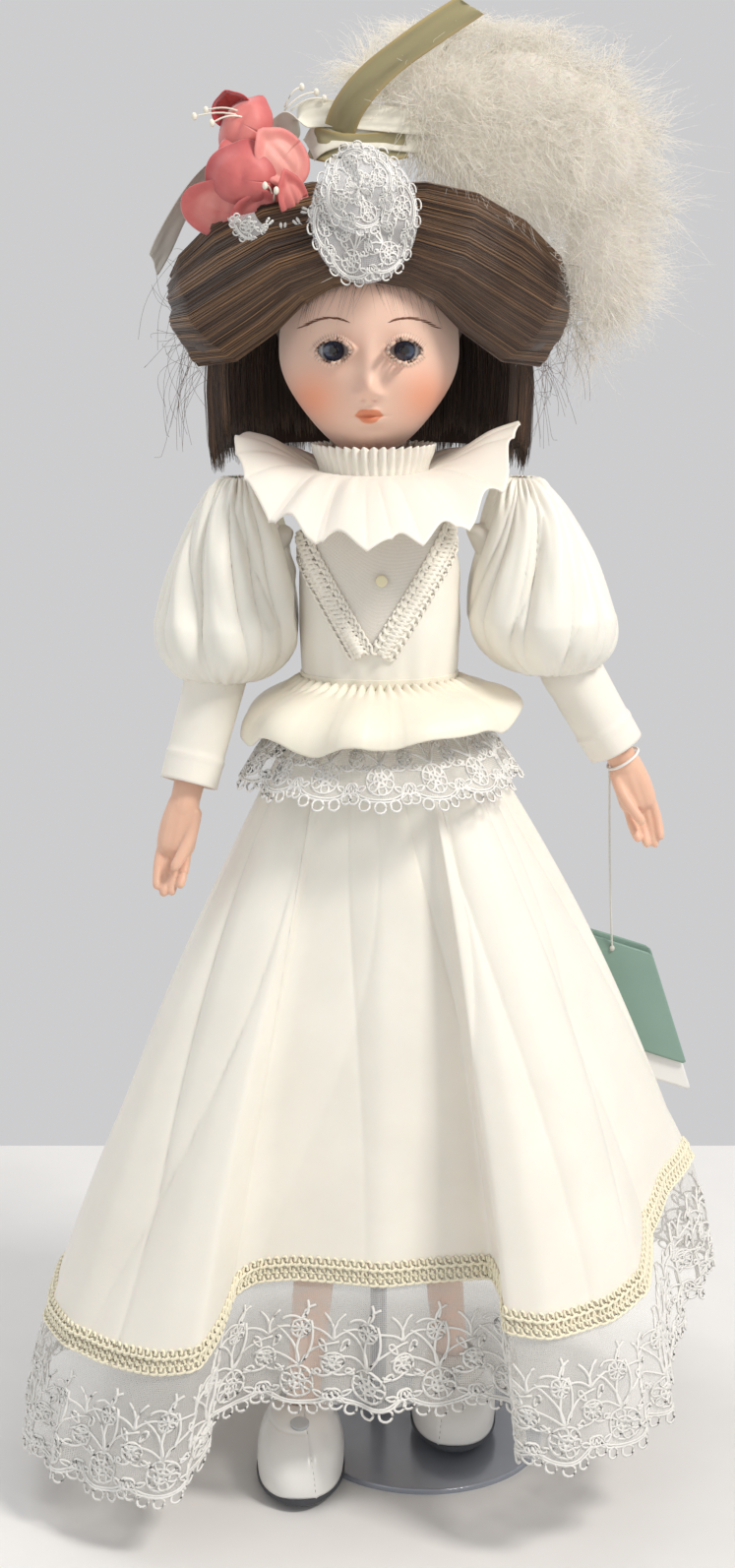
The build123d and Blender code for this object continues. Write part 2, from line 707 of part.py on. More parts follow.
radii = []
for i in range(1, len(string_route) - 1):
    before = Vector(*string_route[i]) - Vector(*string_route[i - 1])
    after = Vector(*string_route[i + 1]) - Vector(*string_route[i])
    half_turn = math.radians(before.get_angle(after)) / 2
    radii.append(0.45 * min(before.length, after.length) / math.tan(half_turn))
print("string radii", [round(radius, 1) for radius in radii])
with BuildPart() as tag_string:
    with BuildLine() as string_path:
        FilletPolyline(*string_route, radius=radii)
    with BuildSketch(Plane(origin=string_path.line @ 0, z_dir=string_path.line % 0)):
        Circle(string_radius)
    sweep(path=string_path.line)
string_length = sum(edge.length for edge in string_path.edges())
print("string length", round(string_length, 2), "volume", round(tag_string.part.volume, 3),
      "expected", round(math.pi * string_radius ** 2 * string_length, 3))
save(tag_string.part, "tag_string")

tag_top = Vector(*string_route[-1]) + Vector(0, string_radius + tag_size[1] / 2 + 0.05, 0)
with BuildPart() as tag_flat:
    with BuildSketch(Plane.XZ):
        with Locations((tag_size[0] / 2 - tag_hole_inset[0], tag_hole_inset[1] - tag_size[2] / 2)):
            Rectangle(tag_size[0], tag_size[2])
        Circle(tag_hole_radius, mode=Mode.SUBTRACT)
    extrude(amount=tag_size[1] / 2, both=True)
    chamfer(tag_flat.edges().filter_by(Axis.Y).group_by(Axis.Z)[-1].sort_by(Axis.X)[0], 2.0)
with BuildPart() as hang_tag:
    add(Pos(*tag_top) * Rot(0, tag_tilt, 0) * tag_flat.part)
save(hang_tag.part, "hang_tag")
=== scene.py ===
import math

import bmesh
import bpy
import numpy as np
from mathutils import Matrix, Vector


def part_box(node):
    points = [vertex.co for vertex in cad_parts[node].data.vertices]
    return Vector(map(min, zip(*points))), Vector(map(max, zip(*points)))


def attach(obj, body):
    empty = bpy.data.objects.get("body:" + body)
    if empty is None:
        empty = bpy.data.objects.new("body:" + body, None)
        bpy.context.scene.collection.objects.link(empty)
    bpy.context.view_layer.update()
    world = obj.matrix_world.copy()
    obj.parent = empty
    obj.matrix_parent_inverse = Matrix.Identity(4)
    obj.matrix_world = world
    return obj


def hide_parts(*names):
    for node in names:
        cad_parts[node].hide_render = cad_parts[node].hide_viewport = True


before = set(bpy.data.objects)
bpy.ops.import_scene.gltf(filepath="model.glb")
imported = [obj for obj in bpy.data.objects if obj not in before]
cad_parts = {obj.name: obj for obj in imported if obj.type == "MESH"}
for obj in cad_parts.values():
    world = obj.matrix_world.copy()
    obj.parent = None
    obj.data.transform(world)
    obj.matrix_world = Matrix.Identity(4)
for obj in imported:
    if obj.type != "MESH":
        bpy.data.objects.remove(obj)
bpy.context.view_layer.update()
mm = 0.001          # every shape below is worked out in millimetres
tau = 2 * math.pi
headX = -3.5        # the head stands a little to the doll's right of the body's axis
cutUnit = 100       # millimetres of cloth for one unit of its UV map
rng = np.random.default_rng(11)

# the camera in mm and degrees; each lamp by its name, place and aim in metres, size, watts and colour
stage = {"cameraHeight": 400, "cameraBack": 750, "cameraX": -4, "tiltDown": 12.2, "lens": 52.4,
         "floorColour": (0.80, 0.79, 0.775, 1), "worldColour": (0.985, 0.985, 1.0, 1), "worldStrength": 0.62,
         "floorHalf": 900, "floorBehind": 281,
         "lamps": [("keyLight", (0.75, -0.55, 1.25), (0, 0, 0.25), 0.30, 13.5, (1.0, 0.955, 0.90)),
                   ("fillLight", (-1.1, -0.9, 0.6), (0, 0, 0.25), 1.0, 1.6, (1.0, 0.98, 0.95)),
                   ("backLight", (-0.5, 0.32, 1.2), (0, 0, 0.3), 0.6, 3.0, (1.0, 1.0, 1.0))]}

cameraData = bpy.data.cameras.new("camera")
cameraData.lens = stage["lens"]
cameraData.clip_start = 0.02
camera = bpy.data.objects.new("camera", cameraData)
camera.location = Vector((stage["cameraX"], -stage["cameraBack"], stage["cameraHeight"])) * mm
camera.rotation_euler = (math.radians(90 - stage["tiltDown"]), 0, 0)
bpy.context.collection.objects.link(camera)
bpy.context.scene.camera = camera

for name, place, aim, size, watts, colour in stage["lamps"]:
    lampData = bpy.data.lights.new(name, "AREA")
    lampData.size = size
    lampData.energy = watts
    lampData.color = colour
    lamp = bpy.data.objects.new(name, lampData)
    lamp.location = place
    lamp.rotation_euler = (Vector(aim) - Vector(place)).to_track_quat("-Z", "Y").to_euler()
    bpy.context.collection.objects.link(lamp)

world = bpy.data.worlds.new("studio")
world.use_nodes = True
sky = world.node_tree.nodes["Background"]
sky.inputs["Color"].default_value = stage["worldColour"]
sky.inputs["Strength"].default_value = stage["worldStrength"]
bpy.context.scene.world = world
bpy.context.scene.view_settings.view_transform = "Standard"
bpy.context.scene.view_settings.look = "None"
print("stage ready")


def grid(nu, nv, closed=False):
    # two arrays of parameters from 0 to 1; the first one stops short of 1 where it closes on itself
    u = np.linspace(0, 1, nu, endpoint=not closed)
    return np.meshgrid(u, np.linspace(0, 1, nv), indexing="ij")


def stacked(x, y, z):
    return np.stack(np.broadcast_arrays(x, y, z), axis=-1).astype(float)


def finishPiece(obj, body, material, replaces=()):
    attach(obj, body)
    obj.data.materials.append(material)
    if replaces:
        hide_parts(*replaces)
    return obj


def meshPiece(name, points, faces, uvs, floats):
    # uvs hold one pair for each face corner, floats a value for each point
    mesh = bpy.data.meshes.new(name)
    mesh.from_pydata((points * mm).tolist(), [], faces)
    if uvs is not None:
        mesh.uv_layers.new(name="cut").data.foreach_set("uv", uvs.astype(np.float32).ravel())
    for key, values in (floats or {}).items():
        mesh.attributes.new(key, "FLOAT", "POINT").data.foreach_set("value", values.astype(np.float32).ravel())
    mesh.polygons.foreach_set("use_smooth", np.ones(len(mesh.polygons), bool))
    mesh.update()
    obj = bpy.data.objects.new(name, mesh)
    bpy.context.collection.objects.link(obj)
    return obj


def surfacePiece(name, points, closed, size, floats=None, thick=0):
    # a grid of points (nu, nv, 3) as quads; size is the cloth's cut in mm and sets the UV scale
    nu, nv = points.shape[:2]
    index = np.arange(nu * nv).reshape(nu, nv)
    i = np.arange(nu if closed else nu - 1)
    j = np.arange(nv - 1)
    a, b = np.meshgrid(i, j, indexing="ij")
    a2 = (a + 1) % nu
    faces = np.stack([index[a, b], index[a2, b], index[a2, b + 1], index[a, b + 1]], axis=-1).reshape(-1, 4)
    steps = nu if closed else nu - 1
    u = np.stack([a, a + 1, a + 1, a], axis=-1) / steps * size[0] / cutUnit
    v = np.stack([b, b, b + 1, b + 1], axis=-1) / (nv - 1) * size[1] / cutUnit
    uvs = np.stack([u, v], axis=-1).reshape(-1, 2)
    obj = meshPiece(name, points.reshape(-1, 3), faces.tolist(), uvs, floats)
    if thick:
        solid = obj.modifiers.new("cloth", "SOLIDIFY")
        solid.thickness = thick * mm
        solid.offset = 0
    return obj


def tubePiece(name, paths, radii, sides, closed=False, floats=None):
    # many thin tubes: each of the n paths (n, k, 3) carries a ring of points square to its tangent
    n, k = paths.shape[:2]
    if closed:
        tangent = np.roll(paths, -1, axis=1) - np.roll(paths, 1, axis=1)
    else:
        tangent = np.gradient(paths, axis=1)
    tangent /= np.linalg.norm(tangent, axis=-1, keepdims=True) + 1e-9
    lean = np.where(np.abs(tangent[..., 2:3]) > 0.8, np.array([1.0, 0, 0]), np.array([0, 0, 1.0]))
    across = np.cross(tangent, lean)
    across /= np.linalg.norm(across, axis=-1, keepdims=True) + 1e-9
    up = np.cross(across, tangent)
    turn = np.arange(sides) * tau / sides
    ring = np.cos(turn)[:, None] * across[:, :, None, :] + np.sin(turn)[:, None] * up[:, :, None, :]
    radii = np.broadcast_to(radii, (n, k))
    points = paths[:, :, None, :] + ring * radii[:, :, None, None]
    index = np.arange(n * k * sides).reshape(n, k, sides)
    after = np.roll(index, -1, axis=1) if closed else index[:, 1:]
    before = index if closed else index[:, :-1]
    faces = np.stack([before, np.roll(before, -1, axis=2), np.roll(after, -1, axis=2), after], axis=-1)
    faces = faces.reshape(-1, 4).tolist()
    if not closed:
        faces += index[:, 0, ::-1].tolist() + index[:, -1].tolist()
    spread = {key: np.broadcast_to(value[..., None], (n, k, sides)) for key, value in (floats or {}).items()}
    return meshPiece(name, points.reshape(-1, 3), faces, None, spread)


def closeEnds(piece):
    # the small openings at a round piece's poles are filled and its faces turned outward
    shape = bmesh.new()
    shape.from_mesh(piece.data)
    bmesh.ops.remove_doubles(shape, verts=shape.verts, dist=0.02 * mm)
    bmesh.ops.holes_fill(shape, edges=[edge for edge in shape.edges if edge.is_boundary], sides=0)
    bmesh.ops.recalc_face_normals(shape, faces=shape.faces)
    shape.to_mesh(piece.data)
    shape.free()
    return piece


def joinPieces(name, parts):
    # several meshes of one material become one piece
    bpy.ops.object.select_all(action="DESELECT")
    for part in parts:
        part.select_set(True)
    bpy.context.view_layer.objects.active = parts[0]
    bpy.ops.object.join()
    parts[0].name = name
    return parts[0]


def smoothLoop(azimuth, rows, column, softness):
    # a value round the body: straight between the rows, then blurred by a bell that many degrees wide
    fine = np.arange(-180, 180, 0.5)
    rows = np.array(rows, dtype=float)
    values = np.interp(fine, rows[:, 0], rows[:, column], period=360)
    bell = np.exp(-0.5 * (np.minimum(np.arange(720), 720 - np.arange(720)) * 0.5 / softness) ** 2)
    values = np.real(np.fft.ifft(np.fft.fft(values) * np.fft.fft(bell / bell.sum())))
    return np.interp(azimuth, fine, values, period=360)


def bump(x, y, cx, cy, wx, wy):
    # a bell 1 high in the middle: the power of e to minus the squares of both distances over their widths
    return np.exp(-((x - cx) / wx) ** 2 - ((y - cy) / wy) ** 2)


def twoBumps(x, y, cx, cy, wx, wy):
    return bump(x, y, cx, cy, wx, wy) + bump(x, y, -cx, cy, wx, wy)


def ease(x, low, high):
    # rises smoothly from 0 at low to 1 at high: three squares less two cubes
    t = np.clip((x - low) / (high - low), 0, 1)
    return t * t * (3 - 2 * t)


def wobble(a, b, seed, count=5, low=1.0, high=4.0):
    # a soft uneven field: a sum of a few slanted sine waves with seeded directions and phases
    r = np.random.default_rng(seed)
    total = 0
    for _ in range(count):
        fa, fb = r.uniform(low, high, 2) * r.choice([-1, 1], 2)
        total = total + np.sin(fa * a + fb * b + r.uniform(0, tau))
    return total / count


def wavyAround(turn, v, seed, counts, sharpness=1.0):
    # folds that close round a loop: cosines of whole numbers of turns, their crests drawn together
    r = np.random.default_rng(seed)
    total = 0
    for count in counts:
        wave = np.cos(turn * count + r.uniform(0, tau) + 0.6 * np.sin(v * r.uniform(1, 3) + r.uniform(0, tau)))
        total = total + np.sign(wave) * np.abs(wave) ** sharpness
    return total / len(counts)


def newMaterial(name, colour, rough, **sockets):
    material = bpy.data.materials.new(name)
    material.use_nodes = True
    shader = material.node_tree.nodes["Principled BSDF"]
    shader.inputs["Base Color"].default_value = (*colour, 1)
    shader.inputs["Roughness"].default_value = rough
    for key, value in sockets.items():
        shader.inputs[key.replace("_", " ")].default_value = value
    return material, material.node_tree, shader


def put(tree, kind, values=(), **settings):
    node = tree.nodes.new(kind)
    for key, value in settings.items():
        setattr(node, key, value)
    for key, value in dict(values).items():
        node.inputs[key].default_value = value
    return node


def wire(tree, out, into):
    tree.links.new(out, into)


def mixColours(tree, first, second):
    return put(tree, "ShaderNodeMix", {6: (*first, 1), 7: (*second, 1)}, data_type="RGBA")


def makeGroup(name, inputs, outputs):
    group = bpy.data.node_groups.new(name, "ShaderNodeTree")
    for key, kind, value in inputs:
        socket = group.interface.new_socket(key, in_out="INPUT", socket_type=kind)
        if value is not None:
            socket.default_value = value
    for key, kind in outputs:
        group.interface.new_socket(key, in_out="OUTPUT", socket_type=kind)
    return group, group.nodes.new("NodeGroupInput"), group.nodes.new("NodeGroupOutput")


def tonedColour(group, inside, outside, cloud, low, high):
    # the group's colour, darkened by up to its Tone where the slow noise is low
    shade = put(group, "ShaderNodeMapRange", {"From Min": low, "From Max": high, "To Max": 1.0})
    wire(group, cloud.outputs["Fac"], shade.inputs["Value"])
    darkest = put(group, "ShaderNodeMath", {0: 1.0}, operation="SUBTRACT")
    wire(group, inside.outputs["Tone"], darkest.inputs[1])
    wire(group, darkest.outputs[0], shade.inputs["To Min"])
    tinted = put(group, "ShaderNodeVectorMath", operation="SCALE")
    wire(group, inside.outputs["Colour"], tinted.inputs[0])
    wire(group, shade.outputs[0], tinted.inputs["Scale"])
    wire(group, tinted.outputs[0], outside.inputs["Colour"])


def weaveGroup():
    # two crossed bands of threads, over and under, plus slow uneven tone
    group, inside, outside = makeGroup(
        "clothWeave",
        [("Coordinates", "NodeSocketVector", None), ("Threads", "NodeSocketFloat", 90.0),
         ("Tone", "NodeSocketFloat", 0.06), ("Colour", "NodeSocketColor", (0.9, 0.9, 0.85, 1))],
        [("Height", "NodeSocketFloat"), ("Colour", "NodeSocketColor")])
    scaled = put(group, "ShaderNodeVectorMath", operation="SCALE")
    wire(group, inside.outputs["Coordinates"], scaled.inputs[0])
    wire(group, inside.outputs["Threads"], scaled.inputs["Scale"])
    crossed = put(group, "ShaderNodeMath", operation="MULTIPLY")
    for i, direction in enumerate(("X", "Y")):
        band = put(group, "ShaderNodeTexWave", {"Scale": 1.0, "Distortion": 0.4, "Detail": 1.0},
                   wave_type="BANDS", bands_direction=direction)
        wire(group, scaled.outputs[0], band.inputs["Vector"])
        wire(group, band.outputs["Fac"], crossed.inputs[i])
    wire(group, crossed.outputs[0], outside.inputs["Height"])
    cloud = put(group, "ShaderNodeTexNoise", {"Scale": 3.2, "Detail": 3.0, "Roughness": 0.55})
    wire(group, inside.outputs["Coordinates"], cloud.inputs["Vector"])
    tonedColour(group, inside, outside, cloud, 0.35, 0.65)
    return group


def grainGroup():
    # fine and coarse specks over the surface, for bisque, leather, card and enamel
    group, inside, outside = makeGroup(
        "surfaceGrain",
        [("Size", "NodeSocketFloat", 900.0), ("Tone", "NodeSocketFloat", 0.05),
         ("Colour", "NodeSocketColor", (0.9, 0.9, 0.9, 1))],
        [("Height", "NodeSocketFloat"), ("Colour", "NodeSocketColor")])
    place = put(group, "ShaderNodeTexCoord")
    fine = put(group, "ShaderNodeTexNoise", {"Detail": 4.0, "Roughness": 0.6})
    wire(group, place.outputs["Object"], fine.inputs["Vector"])
    wire(group, inside.outputs["Size"], fine.inputs["Scale"])
    wire(group, fine.outputs["Fac"], outside.inputs["Height"])
    cloud = put(group, "ShaderNodeTexNoise", {"Scale": 35.0, "Detail": 3.0})
    wire(group, place.outputs["Object"], cloud.inputs["Vector"])
    tonedColour(group, inside, outside, cloud, 0.3, 0.7)
    return group


weave = weaveGroup()
grain = grainGroup()


def addRelief(tree, shader, height, strength, distance=0.0003):
    relief = put(tree, "ShaderNodeBump", {"Strength": strength, "Distance": distance})
    wire(tree, height, relief.inputs["Height"])
    wire(tree, relief.outputs["Normal"], shader.inputs["Normal"])


def addWeave(tree, shader, colour, threads, depth, tone):
    # threads is how many per 10 cm of the cut's own UV
    cut = put(tree, "ShaderNodeUVMap", uv_map="cut")
    cloth = put(tree, "ShaderNodeGroup", {"Threads": threads, "Tone": tone, "Colour": (*colour, 1)}, node_tree=weave)
    wire(tree, cut.outputs["UV"], cloth.inputs["Coordinates"])
    wire(tree, cloth.outputs["Colour"], shader.inputs["Base Color"])
    addRelief(tree, shader, cloth.outputs["Height"], depth)


def addGrain(tree, shader, colour, size, depth, tone):
    specks = put(tree, "ShaderNodeGroup", {"Size": size, "Tone": tone, "Colour": (*colour, 1)}, node_tree=grain)
    wire(tree, specks.outputs["Colour"], shader.inputs["Base Color"])
    addRelief(tree, shader, specks.outputs["Height"], depth)


def wovenMaterial(name, colour, rough, threads, depth, tone, **sockets):
    material, tree, shader = newMaterial(name, colour, rough, **sockets)
    addWeave(tree, shader, colour, threads, depth, tone)
    return material


def grainedMaterial(name, colour, rough, size, depth, tone, **sockets):
    material, tree, shader = newMaterial(name, colour, rough, **sockets)
    addGrain(tree, shader, colour, size, depth, tone)
    return material


def satinCloth(name, colour):
    return wovenMaterial(name, colour, 0.46, 150, 0.12, 0.05, Sheen_Weight=0.25, Sheen_Roughness=0.4,
                         Subsurface_Weight=0.12, Subsurface_Scale=0.004)


def netCloth(name, colour, openness, cell):
    # sheer net: thin threads round small cells, seen through between them
    material, tree, shader = newMaterial(name, colour, 0.7, Sheen_Weight=0.2)
    cut = put(tree, "ShaderNodeUVMap", uv_map="cut")
    cells = put(tree, "ShaderNodeTexVoronoi", {"Scale": cell, "Randomness": 0.25}, feature="DISTANCE_TO_EDGE")
    wire(tree, cut.outputs["UV"], cells.inputs["Vector"])
    threads = put(tree, "ShaderNodeMapRange", {"From Min": 0.05, "From Max": 0.22,
                                               "To Min": min(openness * 2.2, 0.95), "To Max": openness})
    wire(tree, cells.outputs["Distance"], threads.inputs["Value"])
    wire(tree, threads.outputs[0], shader.inputs["Alpha"])
    cloud = put(tree, "ShaderNodeTexNoise", {"Scale": 7.0, "Detail": 2.0})
    wire(tree, cut.outputs["UV"], cloud.inputs["Vector"])
    tint = mixColours(tree, [c * 0.93 for c in colour], colour)
    wire(tree, cloud.outputs["Fac"], tint.inputs[0])
    wire(tree, tint.outputs[2], shader.inputs["Base Color"])
    return material


def threadWork(name, colour):
    # embroidery and gimp: twisted yarn, with a fine noise grain for its ply
    return grainedMaterial(name, colour, 0.6, 2600.0, 0.5, 0.10, Sheen_Weight=0.3)


satin = satinCloth("ivorySatin", (0.90, 0.84, 0.755))
creamSatin = satinCloth("creamSatin", (0.90, 0.83, 0.70))
laceNet = netCloth("laceNet", (0.93, 0.92, 0.885), 0.22, 160.0)
laceThread = threadWork("laceThread", (0.93, 0.92, 0.885))
gimp = threadWork("gimpYarn", (0.97, 0.91, 0.70))
paleGimp = threadWork("paleGimpYarn", (0.97, 0.93, 0.83))
yokeNet = netCloth("yokeNet", (0.90, 0.86, 0.80), 0.30, 240.0)
print("materials ready")

# one row per fold of the hem: degrees from the front towards the doll's left, radius, height; where the
# degrees step back, one flare of the skirt overlaps the front panel
hemFolds = [(-180, 106, 70), (-158, 116, 66), (-140, 103, 70), (-122, 114, 64), (-104, 104, 68), (-88, 112, 62),
            (-74, 117, 60), (-62, 116, 60), (-52, 111, 60), (-43, 104, 61), (-37, 97, 63), (-39, 84, 68),
            (-43.5, 72, 77), (-41, 64, 80), (-30, 57, 82), (-15, 54, 82), (0, 56, 82), (15, 55, 82.5),
            (28, 59, 83), (37, 64, 83), (33, 76, 80), (26.5, 88, 77), (33, 97, 76), (45, 103, 77), (56, 104, 80),
            (70, 96, 88), (84, 98, 96), (99, 115, 98), (116, 102, 92), (138, 116, 84), (160, 104, 76)]
skirtCut = {"waistZ": 266, "waistHalf": (24.4, 19.0), "columns": 700, "rows": 64, "thick": 0.5, "softness": 2.6,
            "creases": 3.4, "laceDrop": 43, "laceFlare": 9.5, "laceRuffle": 2.4}


def loopThrough(rows, softness):
    # a closed curve through points given by azimuth, radius and height, evenly stepped, its corners softened
    steps = 1800
    rows = np.array(rows, dtype=float)
    turn = np.radians(rows[:, 0])
    corners = np.stack([rows[:, 1] * np.sin(turn), -rows[:, 1] * np.cos(turn), rows[:, 2]], axis=-1)
    corners = np.concatenate([corners, corners[:1]])
    run = np.concatenate([[0], np.cumsum(np.linalg.norm(np.diff(corners[:, :2], axis=0), axis=-1))])
    even = np.linspace(0, run[-1], steps, endpoint=False)
    loop = np.stack([np.interp(even, run, corners[:, k]) for k in range(3)], axis=-1)
    gap = np.minimum(np.arange(steps), steps - np.arange(steps)) * run[-1] / steps
    bell = np.exp(-0.5 * (gap / softness) ** 2)
    spectrum = np.fft.fft(bell / bell.sum())[:, None]
    return np.real(np.fft.ifft(np.fft.fft(loop, axis=0) * spectrum, axis=0))


def onLoop(loop, turn):
    # a point of a closed curve; turn runs from -pi to pi once round it
    where = (np.asarray(turn) / tau + 0.5) * len(loop)
    index = np.arange(len(loop))
    return np.stack([np.interp(where, index, loop[:, k], period=len(loop)) for k in range(3)], axis=-1)


hemLoop = loopThrough(hemFolds, skirtCut["softness"])


def pleats(turn, v, seed, counts, drift):
    # broad crests with narrow valleys, as gathered cloth folds; each set leans and wanders down the cloth
    r = np.random.default_rng(seed)
    total = 0
    for count in counts:
        slide = r.uniform(-1, 1) * drift * v + 0.5 * np.sin(v * r.uniform(2, 5) + r.uniform(0, tau))
        total = total + 2 * np.sqrt(np.abs(np.cos(turn * count / 2 + r.uniform(0, tau) + slide))) - 1.3
    return total / len(counts)


def skirtShape(turn, v):
    # v runs 0..1 from waist to hem, then on to 2 at the foot of the lace
    hem = onLoop(hemLoop, turn)
    down = np.clip(v, 0, 1)
    waist = skirtCut["waistHalf"]
    top = stacked(waist[0] * np.sin(turn), -waist[1] * np.cos(turn), skirtCut["waistZ"])
    spread = (down + 0.05 * np.sin(math.pi * down))[..., None]
    point = top + (hem - top) * (spread * np.array([1, 1, 0]) + down[..., None] * np.array([0, 0, 1]))
    flat = point[..., :2]
    outward = flat / (np.linalg.norm(flat, axis=-1, keepdims=True) + 1e-6)
    front = np.exp(-(turn / 0.45) ** 2)
    crease = pleats(turn, down, 5, (9, 14), 1.5) * np.sin(math.pi * (0.1 + 0.75 * down)) ** 0.8
    fine = wavyAround(turn, down, 6, (23, 31)) * np.exp(-(down / 0.25) ** 2) * 0.5
    move = skirtCut["creases"] * crease * (1 - 0.6 * front) + fine
    below = np.clip(v - 1, 0, 1)
    ruffle = wavyAround(turn, below, 9, (29, 41, 53)) * skirtCut["laceRuffle"] * ease(below, 0, 0.6)
    move = move + skirtCut["laceFlare"] * below ** 0.8 + ruffle
    point[..., :2] = flat + outward * move[..., None]
    point[..., 2] = point[..., 2] - skirtCut["laceDrop"] * below
    return point


def skirtPoints(turn, v, out=0.0):
    # the skirt's surface, or a line that stands off it by out along its outward side
    turn, v = np.broadcast_arrays(np.asarray(turn, float), np.asarray(v, float))
    point = skirtShape(turn, v)
    if np.any(out):
        ahead = skirtShape(turn + 0.002, v) - skirtShape(turn - 0.002, v)
        down = skirtShape(turn, v + 0.004) - skirtShape(turn, v - 0.004)
        side = np.cross(down, ahead)
        side /= np.linalg.norm(side, axis=-1, keepdims=True) + 1e-9
        point = point + side * np.broadcast_to(out, turn.shape)[..., None]
    return point


def around(nu, nv):
    # a closed grid round the body: turns from -pi to pi, and v from 0 to 1
    u, v = grid(nu, nv, True)
    return np.radians(-180 + 360 * u), v


turn, v = around(skirtCut["columns"], skirtCut["rows"])
skirt = surfacePiece("skirtCloth", skirtPoints(turn, v), True, (640, 215), thick=skirtCut["thick"])
finishPiece(skirt, "doll", satin, ["skirt"])


def evenTurns(height):
    # at one height of the skirt: the distance along the cloth, the turns there, and the loop's whole length
    fine = np.radians(np.linspace(-180, 180, 2880, endpoint=False))
    loop = skirtPoints(fine, np.full_like(fine, height))
    steps = np.linalg.norm(np.roll(loop, -1, axis=0) - loop, axis=-1)
    return np.concatenate([[0], np.cumsum(steps)]), np.append(fine, math.pi), steps.sum()


hemRun, hemTurns, hemLength = evenTurns(1.0)


def onLace(along, down, out):
    # a point of the lace flounce from its distance along the hem and below it, both in mm
    turnHere = np.interp(along, hemRun, hemTurns, period=hemLength)
    return skirtPoints(turnHere, 1 + down / skirtCut["laceDrop"], out)


def arcs(centres, radius, start, span, steps, squash=1.0):
    # arcs (n, steps, 2) about the given centres; angles are in radians
    angle = start + span * np.linspace(0, 1, steps)
    arc = np.stack([radius * np.cos(angle), radius * np.sin(angle) * squash], axis=-1)
    return centres[:, None, :] + arc[None]


def petals(centres, reach, wide, count, tilt):
    # count leaf-shaped loops about each centre; each is a pointed oval from the centre outwards
    t = np.linspace(0, tau, 14)
    leafX = reach * (0.5 - 0.5 * np.cos(t)) + reach * 0.12
    leafY = wide * np.sin(t) * np.sqrt(0.5 - 0.5 * np.cos(t) + 1e-6)
    loops = []
    for i in range(count):
        angle = tilt + tau * i / count
        x = leafX * math.cos(angle) - leafY * math.sin(angle)
        y = leafX * math.sin(angle) + leafY * math.cos(angle)
        loops.append(centres[:, None, :] + np.stack([x, y], axis=-1)[None])
    return np.concatenate(loops)


def sprays(centres, reach, bend, count, spread, tilt):
    # curved stems fanning from each centre
    t = np.linspace(0, 1, 10)
    stems = []
    for i in range(count):
        angle = tilt + spread * (i / max(count - 1, 1) - 0.5) + bend * t * (1 if i % 2 else -1)
        x = reach * t * np.cos(angle)
        y = reach * t * np.sin(angle)
        stems.append(centres[:, None, :] + np.stack([x, y], axis=-1)[None])
    return np.concatenate(stems)


def laceCurves(length, depth, repeat):
    # one flounce's embroidery as flat curves, kept apart by how many points each has: big scallops edged with
    # open loops, a rose over each, a smaller flower between and above, and long leaf sprays that rise from them
    count = max(int(round(length / repeat)), 3)
    step = length / count
    xs = (np.arange(count) + 0.5) * step
    edge = depth - step * 0.20
    curves = {20: [], 14: [], 10: []}

    def row(shift, above):
        # one point in each repeat, both distances in shares of the repeat
        return np.stack([xs + step * shift, np.full(count, edge - step * above)], axis=-1)

    def ring(centres, radius, steps):
        curves[steps].append(arcs(centres, step * radius, 0, tau, steps))

    def flower(centres, reach, wide, leaves, tilt):
        curves[14].append(petals(centres, step * reach, step * wide, leaves, tilt))

    def stems(centres, reach, bend, number, spread, tilt):
        curves[10].append(sprays(centres, reach, bend, number, spread, tilt))

    def away(lean, reach):
        return np.array([math.cos(lean), math.sin(lean)]) * step * reach

    middle = row(0, 0.22)
    curves[20].append(arcs(middle, step * 0.50, 0.02, math.pi - 0.04, 20, 0.52))
    curves[20].append(arcs(middle, step * 0.43, 0.1, math.pi - 0.2, 20, 0.52))
    for i in range(7):
        angle = math.radians(8 + 27.3 * i)
        ring(middle + np.array([math.cos(angle) * 0.53, math.sin(angle) * 0.34]) * step, 0.085, 14)
    rose = row(0, 0.30)
    flower(rose, 0.215, 0.085, 6, 0.3)
    ring(rose, 0.235, 20)
    ring(rose, 0.115, 14)
    ring(rose, 0.055, 10)
    for lean in (-2.55, -0.60, 2.75, 0.40):
        flower(rose + away(lean, 0.24), 0.15, 0.05, 1, lean)
    stems(rose + np.array([0, -step * 0.24]), min(edge - step * 0.62, step * 0.72), 0.55, 5, 1.5, -math.pi / 2)
    bud = row(0.5, 0.66)
    flower(bud, 0.13, 0.055, 5, 0.9)
    ring(bud, 0.15, 14)
    ring(bud, 0.05, 10)
    for lean in (-2.1, -1.05):
        flower(bud + away(lean, 0.16), 0.20, 0.055, 1, lean)
    stems(bud + np.array([0, step * 0.15]), step * 0.30, 0.8, 2, 1.6, math.pi / 2)
    if depth > step * 1.55:
        high = row(0, 1.12)
        flower(high, 0.12, 0.05, 5, 0.5)
        ring(high, 0.14, 14)
        stems(high + np.array([0, -step * 0.14]), step * 0.30, 0.7, 3, 1.8, -math.pi / 2)
        stems(bud + np.array([0, -step * 0.34]), step * 0.42, 0.6, 4, 1.3, -math.pi / 2)
    return {steps: np.concatenate(found) for steps, found in curves.items()}


def embroider(name, curves, surface, radius, out):
    # lays flat curves on a surface given as a function of along and down, as thin round threads
    parts = []
    for steps, flat in curves.items():
        paths = surface(flat[..., 0], flat[..., 1], out)
        parts.append(tubePiece(f"{name}{steps}", paths, radius, 3))
    return joinPieces(name, parts)


